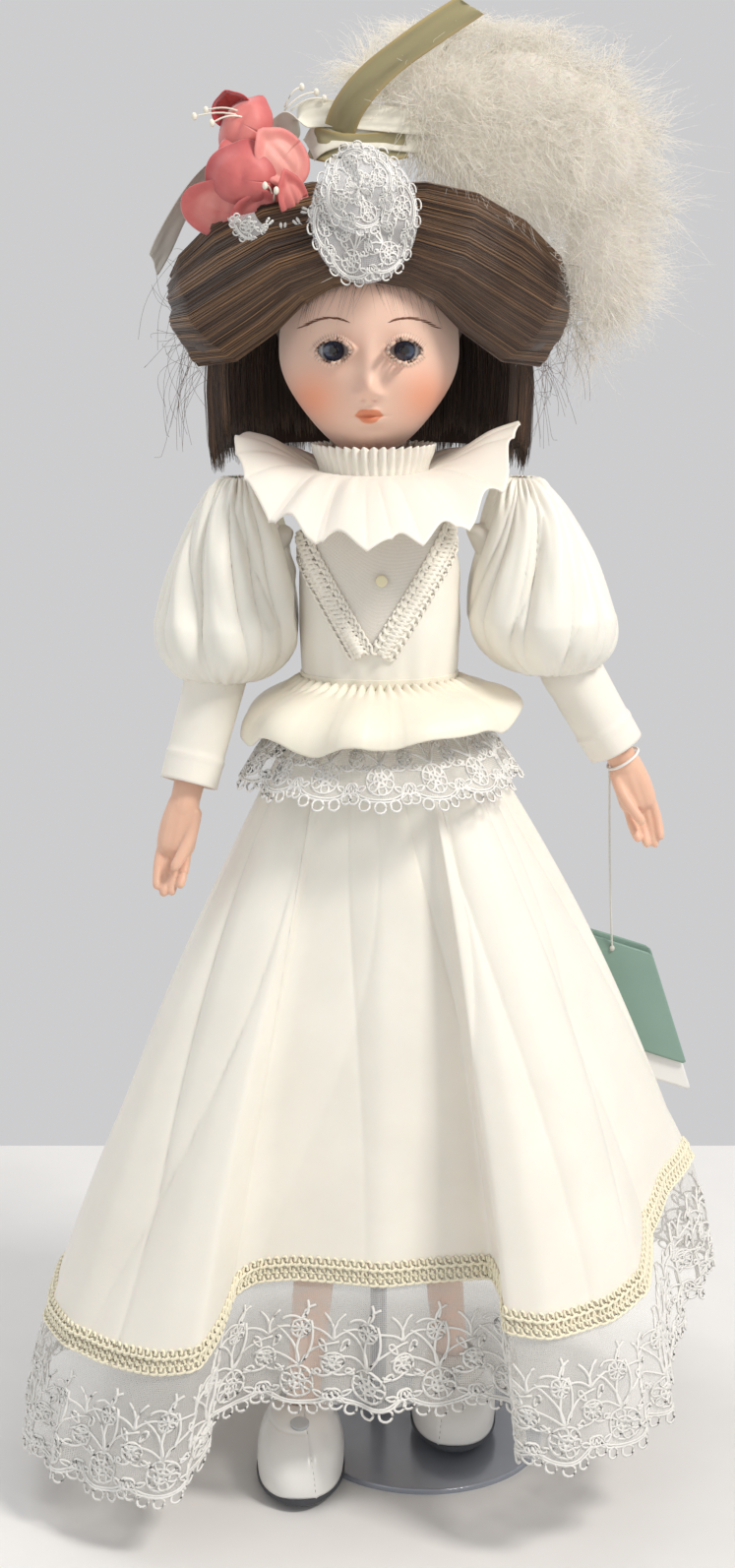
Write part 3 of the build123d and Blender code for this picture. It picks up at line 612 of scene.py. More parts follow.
laceSize = {"repeat": 21.0, "thread": 0.52}
turn, v = around(1100, 20)
laceSheet = surfacePiece("skirtLaceNet", skirtPoints(turn, 1 + v * 0.90), True, (hemLength, 43))
finishPiece(laceSheet, "doll", laceNet, ["skirt_lace"])
laceWork = embroider("skirtLaceStitches", laceCurves(hemLength, skirtCut["laceDrop"], laceSize["repeat"]),
                     onLace, laceSize["thread"], 0.3)
finishPiece(laceWork, "doll", laceThread, ["skirt_lace"])


# loop and yarn are radii and pitch the length of one loop; each row has its distance below the hem and its direction
braidCut = {"loop": 1.5, "pitch": 2.9, "yarn": 0.5, "rows": [(-6.4, 1), (-3.9, -1), (-1.4, 1)]}


def aboveHem(along, down, out):
    # a point near the hem from its distance along and below it; slant is the cloth's length for that share of v
    share = 0.05
    turnHere = np.interp(along, hemRun, hemTurns, period=hemLength)
    hem, above = (skirtShape(turnHere, np.full_like(turnHere, v)) for v in (1.0, 1.0 - share))
    slant = np.linalg.norm(hem - above, axis=-1)
    return skirtPoints(turnHere, 1 + down / (slant / share), out)


def hemGimp():
    # looped gimp: each row is a trochoid, the path of a point on a circle that rolls along the hem
    parts = []
    loop = braidCut["loop"]
    for offset, direction in braidCut["rows"]:
        count = int(hemLength / braidCut["pitch"])
        t = np.linspace(0, 1, count * 14)
        roll = t * count * tau
        along = t * hemLength + direction * loop * np.sin(roll)
        down = offset + loop * np.cos(roll)
        out = 0.9 + 0.35 * np.sin(roll + direction)
        parts.append(tubePiece(f"hemGimp{offset}", aboveHem(along, down, out)[None], braidCut["yarn"], 4))
    return joinPieces("hemGimp", parts)


braid = hemGimp()
finishPiece(braid, "doll", gimp, ["hem_braid"])
print("skirt ready")

peplumCut = {"topZ": 273, "topHalf": (26.2, 20.2), "half": (46.5, 46.0), "dropFront": 14, "wave": 3.4, "thick": 0.5}


def ovalRadius(turn, half):
    return 1 / np.sqrt((np.sin(turn) / half[0]) ** 2 + (np.cos(turn) / half[1]) ** 2)


def peplumPoints(turn, v):
    # a flounce from the waist: it swells outwards first and then drops, with folds that deepen to its edge
    top = ovalRadius(turn, peplumCut["topHalf"])
    edge = ovalRadius(turn, peplumCut["half"])
    fold = peplumCut["wave"] * wavyAround(turn, v * 0.4, 21, (5, 8, 11), 0.8) * v
    sides = 1 - 0.6 * np.abs(np.sin(turn)) ** 3
    radius = top + (edge - top) * np.sin(v * math.pi / 2) ** 0.9 + fold * sides
    z = peplumCut["topZ"] - peplumCut["dropFront"] * v ** 1.5 + fold
    z = z + 3.5 * np.sin(turn) * v + 2.2 * np.exp(-(v / 0.12) ** 2) * (0.5 + 0.5 * np.cos(turn * 47))
    return stacked(radius * np.sin(turn), -radius * np.cos(turn), z)


turn, v = around(540, 28)
peplum = surfacePiece("peplumCloth", peplumPoints(turn, v), True, (330, 28), thick=peplumCut["thick"])
finishPiece(peplum, "doll", creamSatin, ["peplum"])

peplumLaceCut = {"topZ": 267, "topHalf": (25.6, 19.8), "half": (46.5, 49.5), "drop": 27.0, "length": 300, "deep": 34,
                 "repeat": 20.0, "thread": 0.46}


def peplumLacePoints(turn, v, out=0.0):
    top = ovalRadius(turn, peplumLaceCut["topHalf"])
    edge = ovalRadius(turn, peplumLaceCut["half"])
    fold = wavyAround(turn, v * 0.5, 23, (8, 11, 15), 0.8)
    v = np.maximum(v, 0)
    radius = top + (edge - top) * v ** 0.85 + fold * 1.9 * v + out
    z = peplumLaceCut["topZ"] - peplumLaceCut["drop"] * v ** 1.15 + fold * 0.8 * v
    return stacked(radius * np.sin(turn), -radius * np.cos(turn), z)


def onPeplumLace(along, down, out):
    turnHere = -math.pi + along / peplumLaceCut["length"] * tau
    return peplumLacePoints(turnHere, down / peplumLaceCut["deep"], out)


turn, v = around(540, 16)
peplumNet = surfacePiece("peplumLaceNet", peplumLacePoints(turn, v * 0.92), True, (300, 34))
finishPiece(peplumNet, "doll", laceNet, ["peplum_lace"])
peplumWork = embroider("peplumLaceStitches", laceCurves(peplumLaceCut["length"], 35, peplumLaceCut["repeat"]),
                       onPeplumLace, peplumLaceCut["thread"], 0.3)
finishPiece(peplumWork, "doll", laceThread, ["peplum_lace"])

# height, half-width, half-depth, centre x
bodiceSections = [(268.5, 25.3, 19.4, 0), (276, 25.4, 19.6, 0), (292, 26.3, 21.0, 0), (312, 26.2, 20.0, 0),
                  (326, 23.4, 17.7, -1), (335, 18.9, 16.8, -3)]


def bodicePoints(turn, z, out=0.0):
    # ovals through the sections, blended by a smooth curve in height, with drag lines into the waist
    rows = np.array(bodiceSections, dtype=float)
    fine = np.linspace(rows[0, 0], rows[-1, 0], 400)
    blend = np.exp(-0.5 * (np.arange(-20, 21) / 8.0) ** 2)
    blend /= blend.sum()

    def column(k):
        line = np.interp(fine, rows[:, 0], rows[:, k])
        soft = np.convolve(np.pad(line, 20, mode="edge"), blend, mode="valid")
        return np.interp(z, fine, soft)

    radius = ovalRadius(turn, (column(1), column(2)))
    low = 1 - ease(z, 272, 300)
    drag = wavyAround(turn, z * 0.05, 31, (9, 14, 19)) * 0.55 * low
    soft = wobble(turn * 2, z * 0.12, 32) * 0.25 * (1 - bump(turn, 0, 0, 0, 0.5, 1))
    radius = radius + drag + soft + out
    return stacked(column(3) + radius * np.sin(turn), -radius * np.cos(turn), z)


bodiceCut = {"low": 275.6, "tall": 59.0, "thick": 0.6, "bandLow": 268.6, "bandTall": 8.0, "bandThick": 0.7}
turn, v = around(280, 44)
bodice = surfacePiece("bodiceCloth", bodicePoints(turn, bodiceCut["low"] + v * bodiceCut["tall"]), True, (160, 62),
                      thick=bodiceCut["thick"])
finishPiece(bodice, "doll", satin, ["bodice"])
waistband = surfacePiece("waistbandCloth", bodicePoints(turn, bodiceCut["bandLow"] + v * bodiceCut["bandTall"], 0.35),
                         True, (160, 8), thick=bodiceCut["bandThick"])
finishPiece(waistband, "doll", creamSatin, ["waistband"])

# the V's foot and tops as x and height; its rows are offsets in mm across the braid
vTrim = {"low": (-2.5, 286.5), "tops": ((-23.5, 324.0), (23.5, 330.0)), "loopRows": (0.6, 6.4), "loopYarn": 0.46,
         "tapeRows": (0.9, 2.7, 4.4, 6.1), "tapeYarn": 1.05, "plaitYarn": 0.78}


def frontPoint(x, z, out):
    # a point of the bodice's front at a given x and height
    z = np.asarray(z, dtype=float)
    turnHere = np.arcsin(np.clip(np.asarray(x) / 26.6, -0.97, 0.97))
    for _ in range(3):
        reached = bodicePoints(turnHere, z)[..., 0]
        turnHere = np.clip(turnHere + (x - reached) / 26.0, -1.5, 1.5)
    return bodicePoints(turnHere, z, out)


u, v = grid(60, 60)
(leftX, leftZ), (rightX, rightZ) = vTrim["tops"]
xTop = leftX + (rightX - leftX) * u
topLine = leftZ + (rightZ - leftZ) * u + 4 * np.sin(u * math.pi)
yokeX = vTrim["low"][0] + (xTop - vTrim["low"][0]) * v
yokeZ = vTrim["low"][1] + (topLine - vTrim["low"][1]) * v
yoke = surfacePiece("yokeNetPanel", frontPoint(yokeX, yokeZ, 0.7), False, (44, 44))
finishPiece(yoke, "doll", yokeNet, ["yoke_panel"])


def vBraid():
    # two arms of gimp, each a plaited middle with a row of round picot loops on both sides
    parts = []
    low = np.array(vTrim["low"])
    for side, top in enumerate(vTrim["tops"]):
        line = np.array(top) - low
        length = np.linalg.norm(line)
        ahead = line / length
        aside = np.array([ahead[1], -ahead[0]]) * (1 if side else -1)
        for row, offset in enumerate(vTrim["loopRows"]):
            count = int(length / 2.5)
            t = np.linspace(0, 1, count * 14)
            roll = t * count * tau + row * 2.0
            along = t * length + 1.15 * np.sin(roll) * (1 if row else -1)
            across = offset + 1.2 * np.cos(roll)
            flat = low + ahead * along[:, None] + aside * across[:, None]
            path = frontPoint(flat[:, 0], flat[:, 1], 1.2 + 0.35 * np.sin(roll))
            parts.append(tubePiece(f"vLoop{side}{row}", path[None], vTrim["loopYarn"], 6))
        for offset in vTrim["tapeRows"]:
            t = np.linspace(0, 1, 60)
            flat = low + ahead * (t * length)[:, None] + aside * offset
            path = frontPoint(flat[:, 0], flat[:, 1], 0.45)
            parts.append(tubePiece(f"vTape{side}", path[None], vTrim["tapeYarn"], 6))
        for strand in range(3):
            count = int(length / 4.4)
            t = np.linspace(0, 1, count * 16)
            roll = t * count * tau + strand * tau / 3
            flat = low + ahead * (t * length)[:, None] + aside * (3.5 + 1.5 * np.sin(roll))[:, None]
            path = frontPoint(flat[:, 0], flat[:, 1], 1.5 + 0.6 * np.cos(2 * roll))
            parts.append(tubePiece(f"vPlait{side}{strand}", path[None], vTrim["plaitYarn"], 6))
    return joinPieces("vBraidLoops", parts)


trim = vBraid()
finishPiece(trim, "doll", paleGimp, ["v_braid"])

collarCut = {"root": 17.9, "rootZ": 341.5, "thick": 0.5}
# azimuth, radius, height at the collar's rim
collarRim = [(-180, 38.5, 342), (-150, 39.5, 340), (-120, 40, 347), (-100, 43, 352), (-84, 47.5, 352), (-72, 46, 343),
             (-62, 47, 338), (-52, 45, 330), (-40, 44.5, 331), (-30, 46, 324), (-18, 44, 327), (-6, 48.5, 322),
             (8, 44, 327), (16, 47.5, 323), (28, 43.5, 330), (40, 46, 328), (52, 43, 338), (64, 46, 341),
             (76, 43, 351), (88, 45.5, 357), (102, 42.5, 352), (125, 40, 347), (150, 39.5, 344)]


def collarPoints(turn, v):
    # the ruffle leaves the neckband, rises a little and falls to a folded rim; fine gathers fade out as it opens
    azimuth = np.degrees(turn)
    root, rootZ = collarCut["root"], collarCut["rootZ"]
    calmR, calmZ = (smoothLoop(azimuth, collarRim, column, 25) for column in (1, 2))
    rimR, rimZ = (smoothLoop(azimuth, collarRim, column, 2.6) for column in (1, 2))
    opening = 1.25 * ease(v, 0.0, 0.75)
    gather = (np.cos(turn * 44) * 0.6 * np.exp(-(v / 0.2) ** 2)
              + wavyAround(turn, v, 13, (19, 27, 31), 1.2) * 1.1 * np.exp(-(v / 0.55) ** 2) * v ** 0.3)
    drape = pleats(turn, v * 0.3, 29, (13, 17), 0.5) * 2.4 * ease(v, 0.15, 0.9)
    radius = root + (calmR + (rimR - calmR) * opening - root) * v + gather - drape * 0.5
    arch = 3.4 * np.sin(math.pi * v ** 0.8) + drape
    z = rootZ + (calmZ + (rimZ - calmZ) * opening - rootZ) * v ** 1.15 + arch
    return stacked(-2.0 * (1 - v) + radius * np.sin(turn), -radius * np.cos(turn), z)


turn, v = around(480, 32)
collar = surfacePiece("collarRuffle", collarPoints(turn, v), True, (290, 30), thick=collarCut["thick"])
finishPiece(collar, "doll", satin, ["collar_ruffle"])

bandCut = {"radius": 18.0, "low": 335.0, "high": 351.0, "gathers": 40}


def neckbandPoints(turn, v):
    # a crimped frill: gathers run up it and its upper edge flutes in and out
    gather = np.cos(turn * bandCut["gathers"])
    waist = 0.9 * np.sin(math.pi * np.clip(v * 1.25, 0, 1))
    radius = bandCut["radius"] - waist + 1.2 * v ** 2 + gather * (0.35 + 0.75 * ease(v, 0.5, 1.0))
    z = bandCut["low"] + (bandCut["high"] - bandCut["low"]) * v + 0.5 * gather * v
    return stacked(-2.0 + radius * np.sin(turn), -radius * np.cos(turn), z)


turn, v = around(552, 24)
neckband = surfacePiece("neckbandFrill", neckbandPoints(turn, v), True, (150, 12), thick=0.4)
finishPiece(neckband, "doll", satin, ["neckband"])
print("bodice and collar ready")

# middle and half sizes of the head; places, openings and sockets of the eyes
face = {"centre": (headX, 3.0, 386.0), "half": (28.5, 32.0, 39.0), "eyeX": 11.2, "eyeZ": 381.6,
        "opening": (5.5, 3.7), "slant": 0.35, "pinch": 0.28, "socket": 5.5, "eyeRadius": 7.0, "eyeY": -16.2}
# what stands out of the egg or sinks into it: mm outwards, sideways and up from the middle, and both widths of
# the bell; what is beside the middle comes in pairs
features = [(4.6, 0, -16.0, 3.4, 4.2),          # tip of the nose
            (1.6, 0, -8.0, 3.0, 8.0),           # its bridge
            (1.5, 3.3, -17.6, 1.9, 1.7),        # its wings
            (-1.3, 1.7, -19.4, 1.0, 0.7),       # nostrils
            (-1.5, 11.2, -4.6, 8.5, 6.4),       # hollows of the eyes
            (1.5, 15.5, -14.5, 10, 9),          # cheeks
            (2.3, 0, -35.0, 8.5, 6.0),          # chin
            (1.2, 0, -24.8, 8.5, 5.0),          # mouth
            (1.0, 1.6, -23.0, 1.7, 1.1),        # upper lip
            (1.2, 0, -26.2, 3.0, 1.4),          # lower lip
            (-1.0, 0, -24.6, 4.3, 0.45),        # line between the lips
            (-0.5, 0, -20.8, 0.9, 1.3),         # groove under the nose
            (-0.6, 0, -29.2, 4.5, 1.4)]         # hollow above the chin


def lidShape(x, z):
    # below 1 inside an almond about either eye: the corners are drawn out and the outer one sits lower
    along = (np.abs(x) - face["eyeX"]) / face["opening"][0]
    height = (z - face["eyeZ"] + face["slant"] * along) / face["opening"][1]
    return along ** 2 + (height / np.clip(1 - face["pinch"] * along ** 2, 0.2, 1)) ** 2


def lidOutline(side, t, grow=0.0):
    # the same almond as a line, once round it for t from 0 to two pi
    along = np.cos(t)
    x = side * face["eyeX"] + (face["opening"][0] + grow) * along
    tall = (face["opening"][1] + grow) * np.sin(t) * (1 - face["pinch"] * along ** 2)
    return x, face["eyeZ"] - face["slant"] * along * side + tall


def headPoints(azimuth, rise, out=0.0):
    # an egg that narrows to the chin, with the features raised and sunk on its front
    half, centre = face["half"], face["centre"]
    x = half[0] * np.cos(rise) * np.sin(azimuth)
    y = -half[1] * np.cos(rise) * np.cos(azimuth)
    z = half[2] * np.sin(rise)
    x = x * (1 - 0.13 * ease(-z, 6, 39))
    x = x * (1 + 0.05 * bump(z, 0, -14, 0, 14, 1))
    push = 0
    for amount, sideways, up, wide, tall in features:
        bells = twoBumps if sideways else bump
        push = push + amount * bells(x, z, sideways, up, wide, tall)
    rim = lidShape(x, z + centre[2])
    push = push + 0.7 * np.exp(-((rim - 1.35) / 0.45) ** 2)      # lids
    front = np.clip(np.cos(azimuth), 0, 1) ** 0.6
    y = y - push * front - out * np.cos(azimuth) * np.cos(rise)
    y = np.where((rim < 1.0) & (y < 0), y + face["socket"], y)
    x = x + out * np.sin(azimuth) * np.cos(rise) * 0.5
    return stacked(centre[0] + x, centre[1] + y, centre[2] + z)


def crowded(t, strength):
    # -1..1 to -1..1, with its steps packed round the middle
    return (1 - strength) * t + strength * t ** 3


u, v = grid(330, 290)
azimuth = math.pi * crowded(u * 2 - 1, 0.72)
rise = np.radians(-10 + np.where(v < 0.5, -78.5, 98.5) * np.abs(crowded(v * 2 - 1, 0.55)))
headGrid = headPoints(azimuth, rise)
side, height = headGrid[..., 0] - headX, headGrid[..., 2]
onFront = headGrid[..., 1] < 0
lips = twoBumps(side, height, 1.7, 362.6, 1.9, 1.0)
lips = np.clip(lips + bump(side, height, 0, 360.2, 2.9, 1.35) + bump(side, height, 0, 361.5, 4.4, 0.8), 0, 1)
blush = twoBumps(side, height, 18.5, 366.5, 8.5, 8.5)
blush = blush + 0.12 * bump(side, height, 0, 352, 8, 4) + 0.10 * bump(side, height, 0, 369, 4, 4)
rimField = lidShape(side, height)
outline = np.exp(-((rimField - 1.02) / 0.16) ** 2) * (height > 380) + np.exp(-((rimField - 1.0) / 0.08) ** 2) * 0.6
paint = {"lips": ease(lips, 0.30, 0.55) * onFront, "blush": blush * onFront, "line": outline * onFront}
head = closeEnds(surfacePiece("bisqueHead", headGrid, False, (200, 120), {k: a.ravel() for k, a in paint.items()}))


def attribute(tree, name):
    return put(tree, "ShaderNodeAttribute", attribute_name=name).outputs["Fac"]


def tintBy(tree, base, factor, colour, strength):
    # lays a colour over another where the factor is high
    node = mixColours(tree, colour, colour)
    wire(tree, base, node.inputs[6])
    scale = put(tree, "ShaderNodeMath", {1: strength}, operation="MULTIPLY", use_clamp=True)
    wire(tree, factor, scale.inputs[0])
    wire(tree, scale.outputs[0], node.inputs[0])
    return node.outputs[2]


def toneRamp(tree, shader, factor, stops):
    # a run of colours from dark to light by the factor, as the base colour
    ramp = put(tree, "ShaderNodeValToRGB")
    while len(ramp.color_ramp.elements) < len(stops):
        ramp.color_ramp.elements.new(0.5)
    for element, (place, colour) in zip(ramp.color_ramp.elements, stops):
        element.position = place
        element.color = (*colour, 1)
    wire(tree, factor, ramp.inputs["Fac"])
    wire(tree, ramp.outputs["Color"], shader.inputs["Base Color"])
    return ramp


skinTone = (0.80, 0.545, 0.43)
bisque, tree, shader = newMaterial("paintedBisque", skinTone, 0.5, Subsurface_Weight=0.18, Subsurface_Scale=0.004,
                                   Sheen_Weight=0.25, Sheen_Roughness=0.5, Specular_IOR_Level=0.38)
addGrain(tree, shader, skinTone, 2600, 0.03, 0.04)
skin = shader.inputs["Base Color"].links[0].from_socket
for name, colour, strength in (("blush", (0.83, 0.27, 0.12), 0.72), ("lips", (0.66, 0.20, 0.085), 0.92),
                               ("line", (0.16, 0.08, 0.06), 0.45)):
    skin = tintBy(tree, skin, attribute(tree, name), colour, strength)
wire(tree, skin, shader.inputs["Base Color"])
lipGloss = put(tree, "ShaderNodeMapRange", {"To Min": 0.5, "To Max": 0.32})
wire(tree, attribute(tree, "lips"), lipGloss.inputs["Value"])
wire(tree, lipGloss.outputs[0], shader.inputs["Roughness"])
finishPiece(head, "head", bisque, ["head_shell"])


def facePoint(x, z, out):
    # a point on the face's front under a given place, found by a few corrections
    x, z = np.broadcast_arrays(np.asarray(x, float), np.asarray(z, float))
    rise = np.arcsin(np.clip((z - face["centre"][2]) / face["half"][2], -1, 1))
    azimuth = np.zeros_like(x)
    for _ in range(6):
        here = headPoints(azimuth, rise)[..., 0] - headX
        azimuth = azimuth + (x - here) / (face["half"][0] * np.cos(rise) * np.cos(azimuth) + 3)
    point = headPoints(azimuth, rise, out)
    inside = lidShape(x, z) < 1.0
    point[..., 1] = np.where(inside, point[..., 1] - face["socket"], point[..., 1])
    return point


t = np.linspace(0, tau, 60, endpoint=False)
unpainted = np.zeros((1, 60))
lids = []
for side in (-1, 1):
    ring = facePoint(*lidOutline(side, t), 0)
    ring[:, 1] = ring[:, 1] + 0.15
    lids.append(tubePiece(f"lid{side}", ring[None], 0.62, 8, True,
                          {"lips": unpainted, "blush": unpainted, "line": (0.1 + 0.5 * (np.sin(t) > 0.05))[None]}))
finishPiece(joinPieces("eyeLids", lids), "head", bisque)

# an eye's colours by the angle from its middle: pupil, iris and its dark ring, then the white
eyeGlass, tree, shader = newMaterial("eyeGlass", (0.85, 0.87, 0.9), 0.06, Coat_Weight=1.0, Coat_Roughness=0.02)
spokes = put(tree, "ShaderNodeTexNoise", {"Scale": 1400.0, "Detail": 3.0})
wire(tree, put(tree, "ShaderNodeTexCoord").outputs["Object"], spokes.inputs["Vector"])
shift = put(tree, "ShaderNodeMath", {1: 0.03, 2: -0.015}, operation="MULTIPLY_ADD")
wire(tree, spokes.outputs["Fac"], shift.inputs[0])
total = put(tree, "ShaderNodeMath", operation="ADD")
wire(tree, attribute(tree, "polar"), total.inputs[0])
wire(tree, shift.outputs[0], total.inputs[1])
toneRamp(tree, shader, total.outputs[0],
         [(0.0, (0.002, 0.002, 0.003)), (0.175, (0.002, 0.002, 0.003)), (0.20, (0.016, 0.028, 0.06)),
          (0.36, (0.035, 0.06, 0.115)), (0.45, (0.012, 0.018, 0.035)), (0.50, (0.22, 0.24, 0.27)),
          (0.56, (0.66, 0.69, 0.72))])
u, v = grid(64, 60, True)
angle = 0.004 + (math.pi - 0.008) * v
for side, node in ((-1, "eye_right"), (1, "eye_left")):
    spin = u * tau
    bulge = face["eyeRadius"] + 0.45 * np.exp(-(angle / 0.45) ** 2)
    ball = stacked(headX + side * face["eyeX"] + bulge * np.sin(angle) * np.cos(spin),
                   face["eyeY"] - bulge * np.cos(angle),
                   face["eyeZ"] + bulge * np.sin(angle) * np.sin(spin))
    eye = closeEnds(surfacePiece(f"glassEye_{node}", ball, True, (20, 20), {"polar": angle.ravel()}))
    finishPiece(eye, "head", eyeGlass, [node])

# strokes is how many hairs a brow has; each row of lashes is its side of the lid, its hairs and their reach
inkCut = {"strokes": 46, "browFrom": 5.8, "browLong": 14.5, "browZ": 389.4, "lashes": ((1, 18, 1.7), (-1, 14, 1.2))}
browInk = grainedMaterial("browPaint", (0.20, 0.075, 0.035), 0.6, 3000, 0.02, 0.3)
brows = []
for side in (-1, 1):
    t = np.linspace(0, 1, inkCut["strokes"])[:, None]
    lean = np.linspace(0, 1, 6)
    strokeX = side * (inkCut["browFrom"] + inkCut["browLong"] * t) + side * 2.6 * lean
    strokeZ = inkCut["browZ"] + 2.6 * np.sin(math.pi * (0.12 + 0.80 * t)) - 1.2 * t
    strokeZ = strokeZ + (1.3 - 2.2 * t) * lean * 0.8 + rng.uniform(-0.25, 0.25, (len(t), 1))
    brows.append(tubePiece(f"brow{side}", facePoint(strokeX, strokeZ, 0.04),
                           0.10 * np.sin(math.pi * (0.1 + 0.85 * lean)), 4))
finishPiece(joinPieces("brows", brows), "head", browInk)

lashInk = grainedMaterial("lashPaint", (0.03, 0.018, 0.014), 0.5, 3000, 0.02, 0.3)
lashes = []
for side in (-1, 1):
    for half, count, reach in inkCut["lashes"]:
        t = np.linspace(0.12, 0.88, count)[:, None] * math.pi * half
        x, z = lidOutline(side, t, 0.5)
        lean = np.linspace(0, 1, 5)
        lashX = x + (np.cos(t) * 0.9 + side * 0.35) * lean * reach * 0.7
        lashZ = z + half * lean * reach
        lashes.append(tubePiece(f"lash{side}{half}", facePoint(lashX, lashZ, 0.05), 0.055 * (1.05 - lean), 3))
finishPiece(joinPieces("paintedLashes", lashes), "head", lashInk)
print("face ready")


def splineWeights(count, t):
    # how much each of count control points pulls on a smooth curve at t in 0..1; the curve meets both ends
    reach = np.clip(t, 0, 1) * (count + 1) - 1
    k = np.arange(-2, count + 2)
    d = np.abs(reach[:, None] - k[None, :])
    w = np.where(d < 1, 2 / 3 - d ** 2 + d ** 3 / 2, np.where(d < 2, (2 - d) ** 3 / 6, 0))
    full = w[:, 2:2 + count].copy()
    full[:, 0] += w[:, :2].sum(axis=1)
    full[:, -1] += w[:, 2 + count:].sum(axis=1)
    return full / full.sum(axis=1, keepdims=True)


def sweep(keys, across, along):
    # a smooth surface through rows of control points: across picks between rows, along runs down them
    keys = np.array(keys, dtype=float)
    wa = splineWeights(keys.shape[0], across)
    ws = splineWeights(keys.shape[1], along)
    return np.einsum("na,ts,ask->ntk", wa, ws, keys)


# sideways from the middle of the head, depth, height: four rows from the hairline to the crown
rollRows = [
    [(0, -28.5, 403), (9, -27.5, 402.5), (18, -24, 399), (25, -18, 392),
     (34, -21, 383), (46, -19, 376), (57, -8, 377), (59, 8, 384)],
    [(0, -31, 407), (11, -32.5, 408), (22, -33, 405), (34, -31.5, 398),
     (46, -28, 389), (58, -17, 383), (64, -2, 386), (60, 12, 392)],
    [(0, -27, 417), (13, -31, 419), (26, -32, 417), (40, -30, 410),
     (53, -23, 402), (63, -10, 397), (65.5, 3, 397), (60, 15, 400)],
    [(0, -8, 431), (15, -15, 432), (29, -18, 430), (43, -16, 424),
     (55, -9, 415), (63, 1, 406), (64, 11, 403), (57, 20, 404)],
]
rollCut = {"strands": 2300, "radius": 0.17, "steps": 9, "middle": (40, -2, 396), "lifts": (-0.5, 0.5)}


def mirrored(rows, side):
    rows = np.array(rows, dtype=float)
    rows[..., 0] = headX + side * rows[..., 0]
    return rows


def strayHair(r, t, count, spread, swing, slow, fast):
    # how far each hair leaves its place: by one amount of its own and by a wave of its own along it
    own = r.normal(0, spread, (count, 1))
    return own + swing * np.sin(t[None, :] * r.uniform(slow, fast, (count, 1)) + r.uniform(0, tau, (count, 1)))


def rollStrands(side, seed, lift):
    # locks lie side by side on the roll; each strand keeps to its lock and the locks have their own rise
    r = np.random.default_rng(seed)
    count = rollCut["strands"]
    across = np.clip(r.uniform(-0.02, 1.02, count), 0, 1)
    t = np.linspace(0, 1, rollCut["steps"])
    paths = sweep(mirrored(rollRows, side), across, t)
    outward = paths - mirrored(rollCut["middle"], side)
    outward /= np.linalg.norm(outward, axis=-1, keepdims=True)
    lock = wobble(across[:, None] * 26, t[None, :] * 2.0, seed, 6, 0.6, 2.0)
    stray = strayHair(r, t, count, 0.35, 0.3, 3, 9)
    ends = np.sin(math.pi * np.clip(t * 1.05, 0, 1)) ** 0.5
    paths = paths + outward * (lift + 1.0 * lock + stray * 0.8 * ends)[..., None]
    paths[..., 2] += 0.5 * stray * ends
    tone = np.clip(0.5 + 0.35 * lock.mean(axis=1, keepdims=True) + r.normal(0, 0.22, (count, 1)), 0, 1)
    taper = (0.55 + 0.45 * np.sin(math.pi * (0.05 + 0.9 * t)))[None, :]
    width = rollCut["radius"] * taper * r.uniform(0.7, 1.2, (count, 1))
    return paths, width, np.broadcast_to(tone, (count, len(t)))


hair, tree, shader = newMaterial("hairFibre", (0.05, 0.027, 0.014), 0.36, Specular_IOR_Level=0.55, Sheen_Weight=0.15)
toneRamp(tree, shader, attribute(tree, "tone"),
         [(0.0, (0.020, 0.010, 0.006)), (0.55, (0.085, 0.041, 0.019)), (1.0, (0.34, 0.18, 0.075))])

for side, node in ((-1, "hair_roll_right"), (1, "hair_roll_left")):
    under = sweep(mirrored(rollRows, side), np.linspace(0, 1, 60), np.linspace(0, 1, 40))
    inward = mirrored(rollCut["middle"], side) - under
    under = under + inward / np.linalg.norm(inward, axis=-1, keepdims=True) * 1.3
    # painted shade: the base under the strands takes a dark hair tone, for the shade deep inside the roll
    base = surfacePiece(f"rollBase_{node}", under, False, (60, 60), {"tone": np.full(60 * 40, 0.22)}, thick=0.8)
    finishPiece(base, "head", hair, [node])
    for layer, lift in enumerate(rollCut["lifts"]):
        paths, width, tone = rollStrands(side, 40 + layer + (side > 0) * 7, lift)
        lockPiece = tubePiece(f"rollHair{layer}_{node}", paths, width, 3, False, {"tone": tone})
        finishPiece(lockPiece, "head", hair)


def wigCap(name, centre, half, tone):
    # an egg under the hair, cut away in front of the ears below the hairline so that the face stays clear
    u, v = grid(96, 64, True)
    polar = 0.01 + (math.pi - 0.02) * v
    points = stacked(centre[0] + half[0] * np.sin(polar) * np.cos(u * tau),
                     centre[1] - half[1] * np.sin(polar) * np.sin(u * tau),
                     centre[2] + half[2] * np.cos(polar))
    behind = -4 + 20 * (1 - ease(points[..., 2], 366, 396))
    clear = (1 - ease(points[..., 2], 404, 412)) * (points[..., 1] < behind)
    points[..., 1] = points[..., 1] + (behind - points[..., 1]) * clear
    points[..., 0] = centre[0] + (points[..., 0] - centre[0]) * (0.72 + 0.28 * ease(points[..., 2], 366, 400))
    return closeEnds(surfacePiece(name, points, True, (60, 60), {"tone": np.full(u.size, tone)}))


# painted shade: the cap takes a tone near the darkest hair colour, for the shade deep among the hair
crown = wigCap("crownBase", (headX, 7, 387), (33.5, 39.5, 42.5), 0.12)
finishPiece(crown, "head", hair, ["wig_cap", "hair_crown"])

# the fall hangs about an upright axis; its line is radius and height from the crown down, and insets are the
# distances of its layers under the outermost one
fallCut = {"axis": (headX, 5), "top": 431, "strands": 2000, "radius": 0.19, "steps": 8, "insets": (0.0, 1.5, 4.5),
           "line": [(5, 431), (20, 431), (36, 424), (45, 411), (50, 397), (52.5, 383), (53, 368), (53, 355),
                    (51.5, 342.5)]}


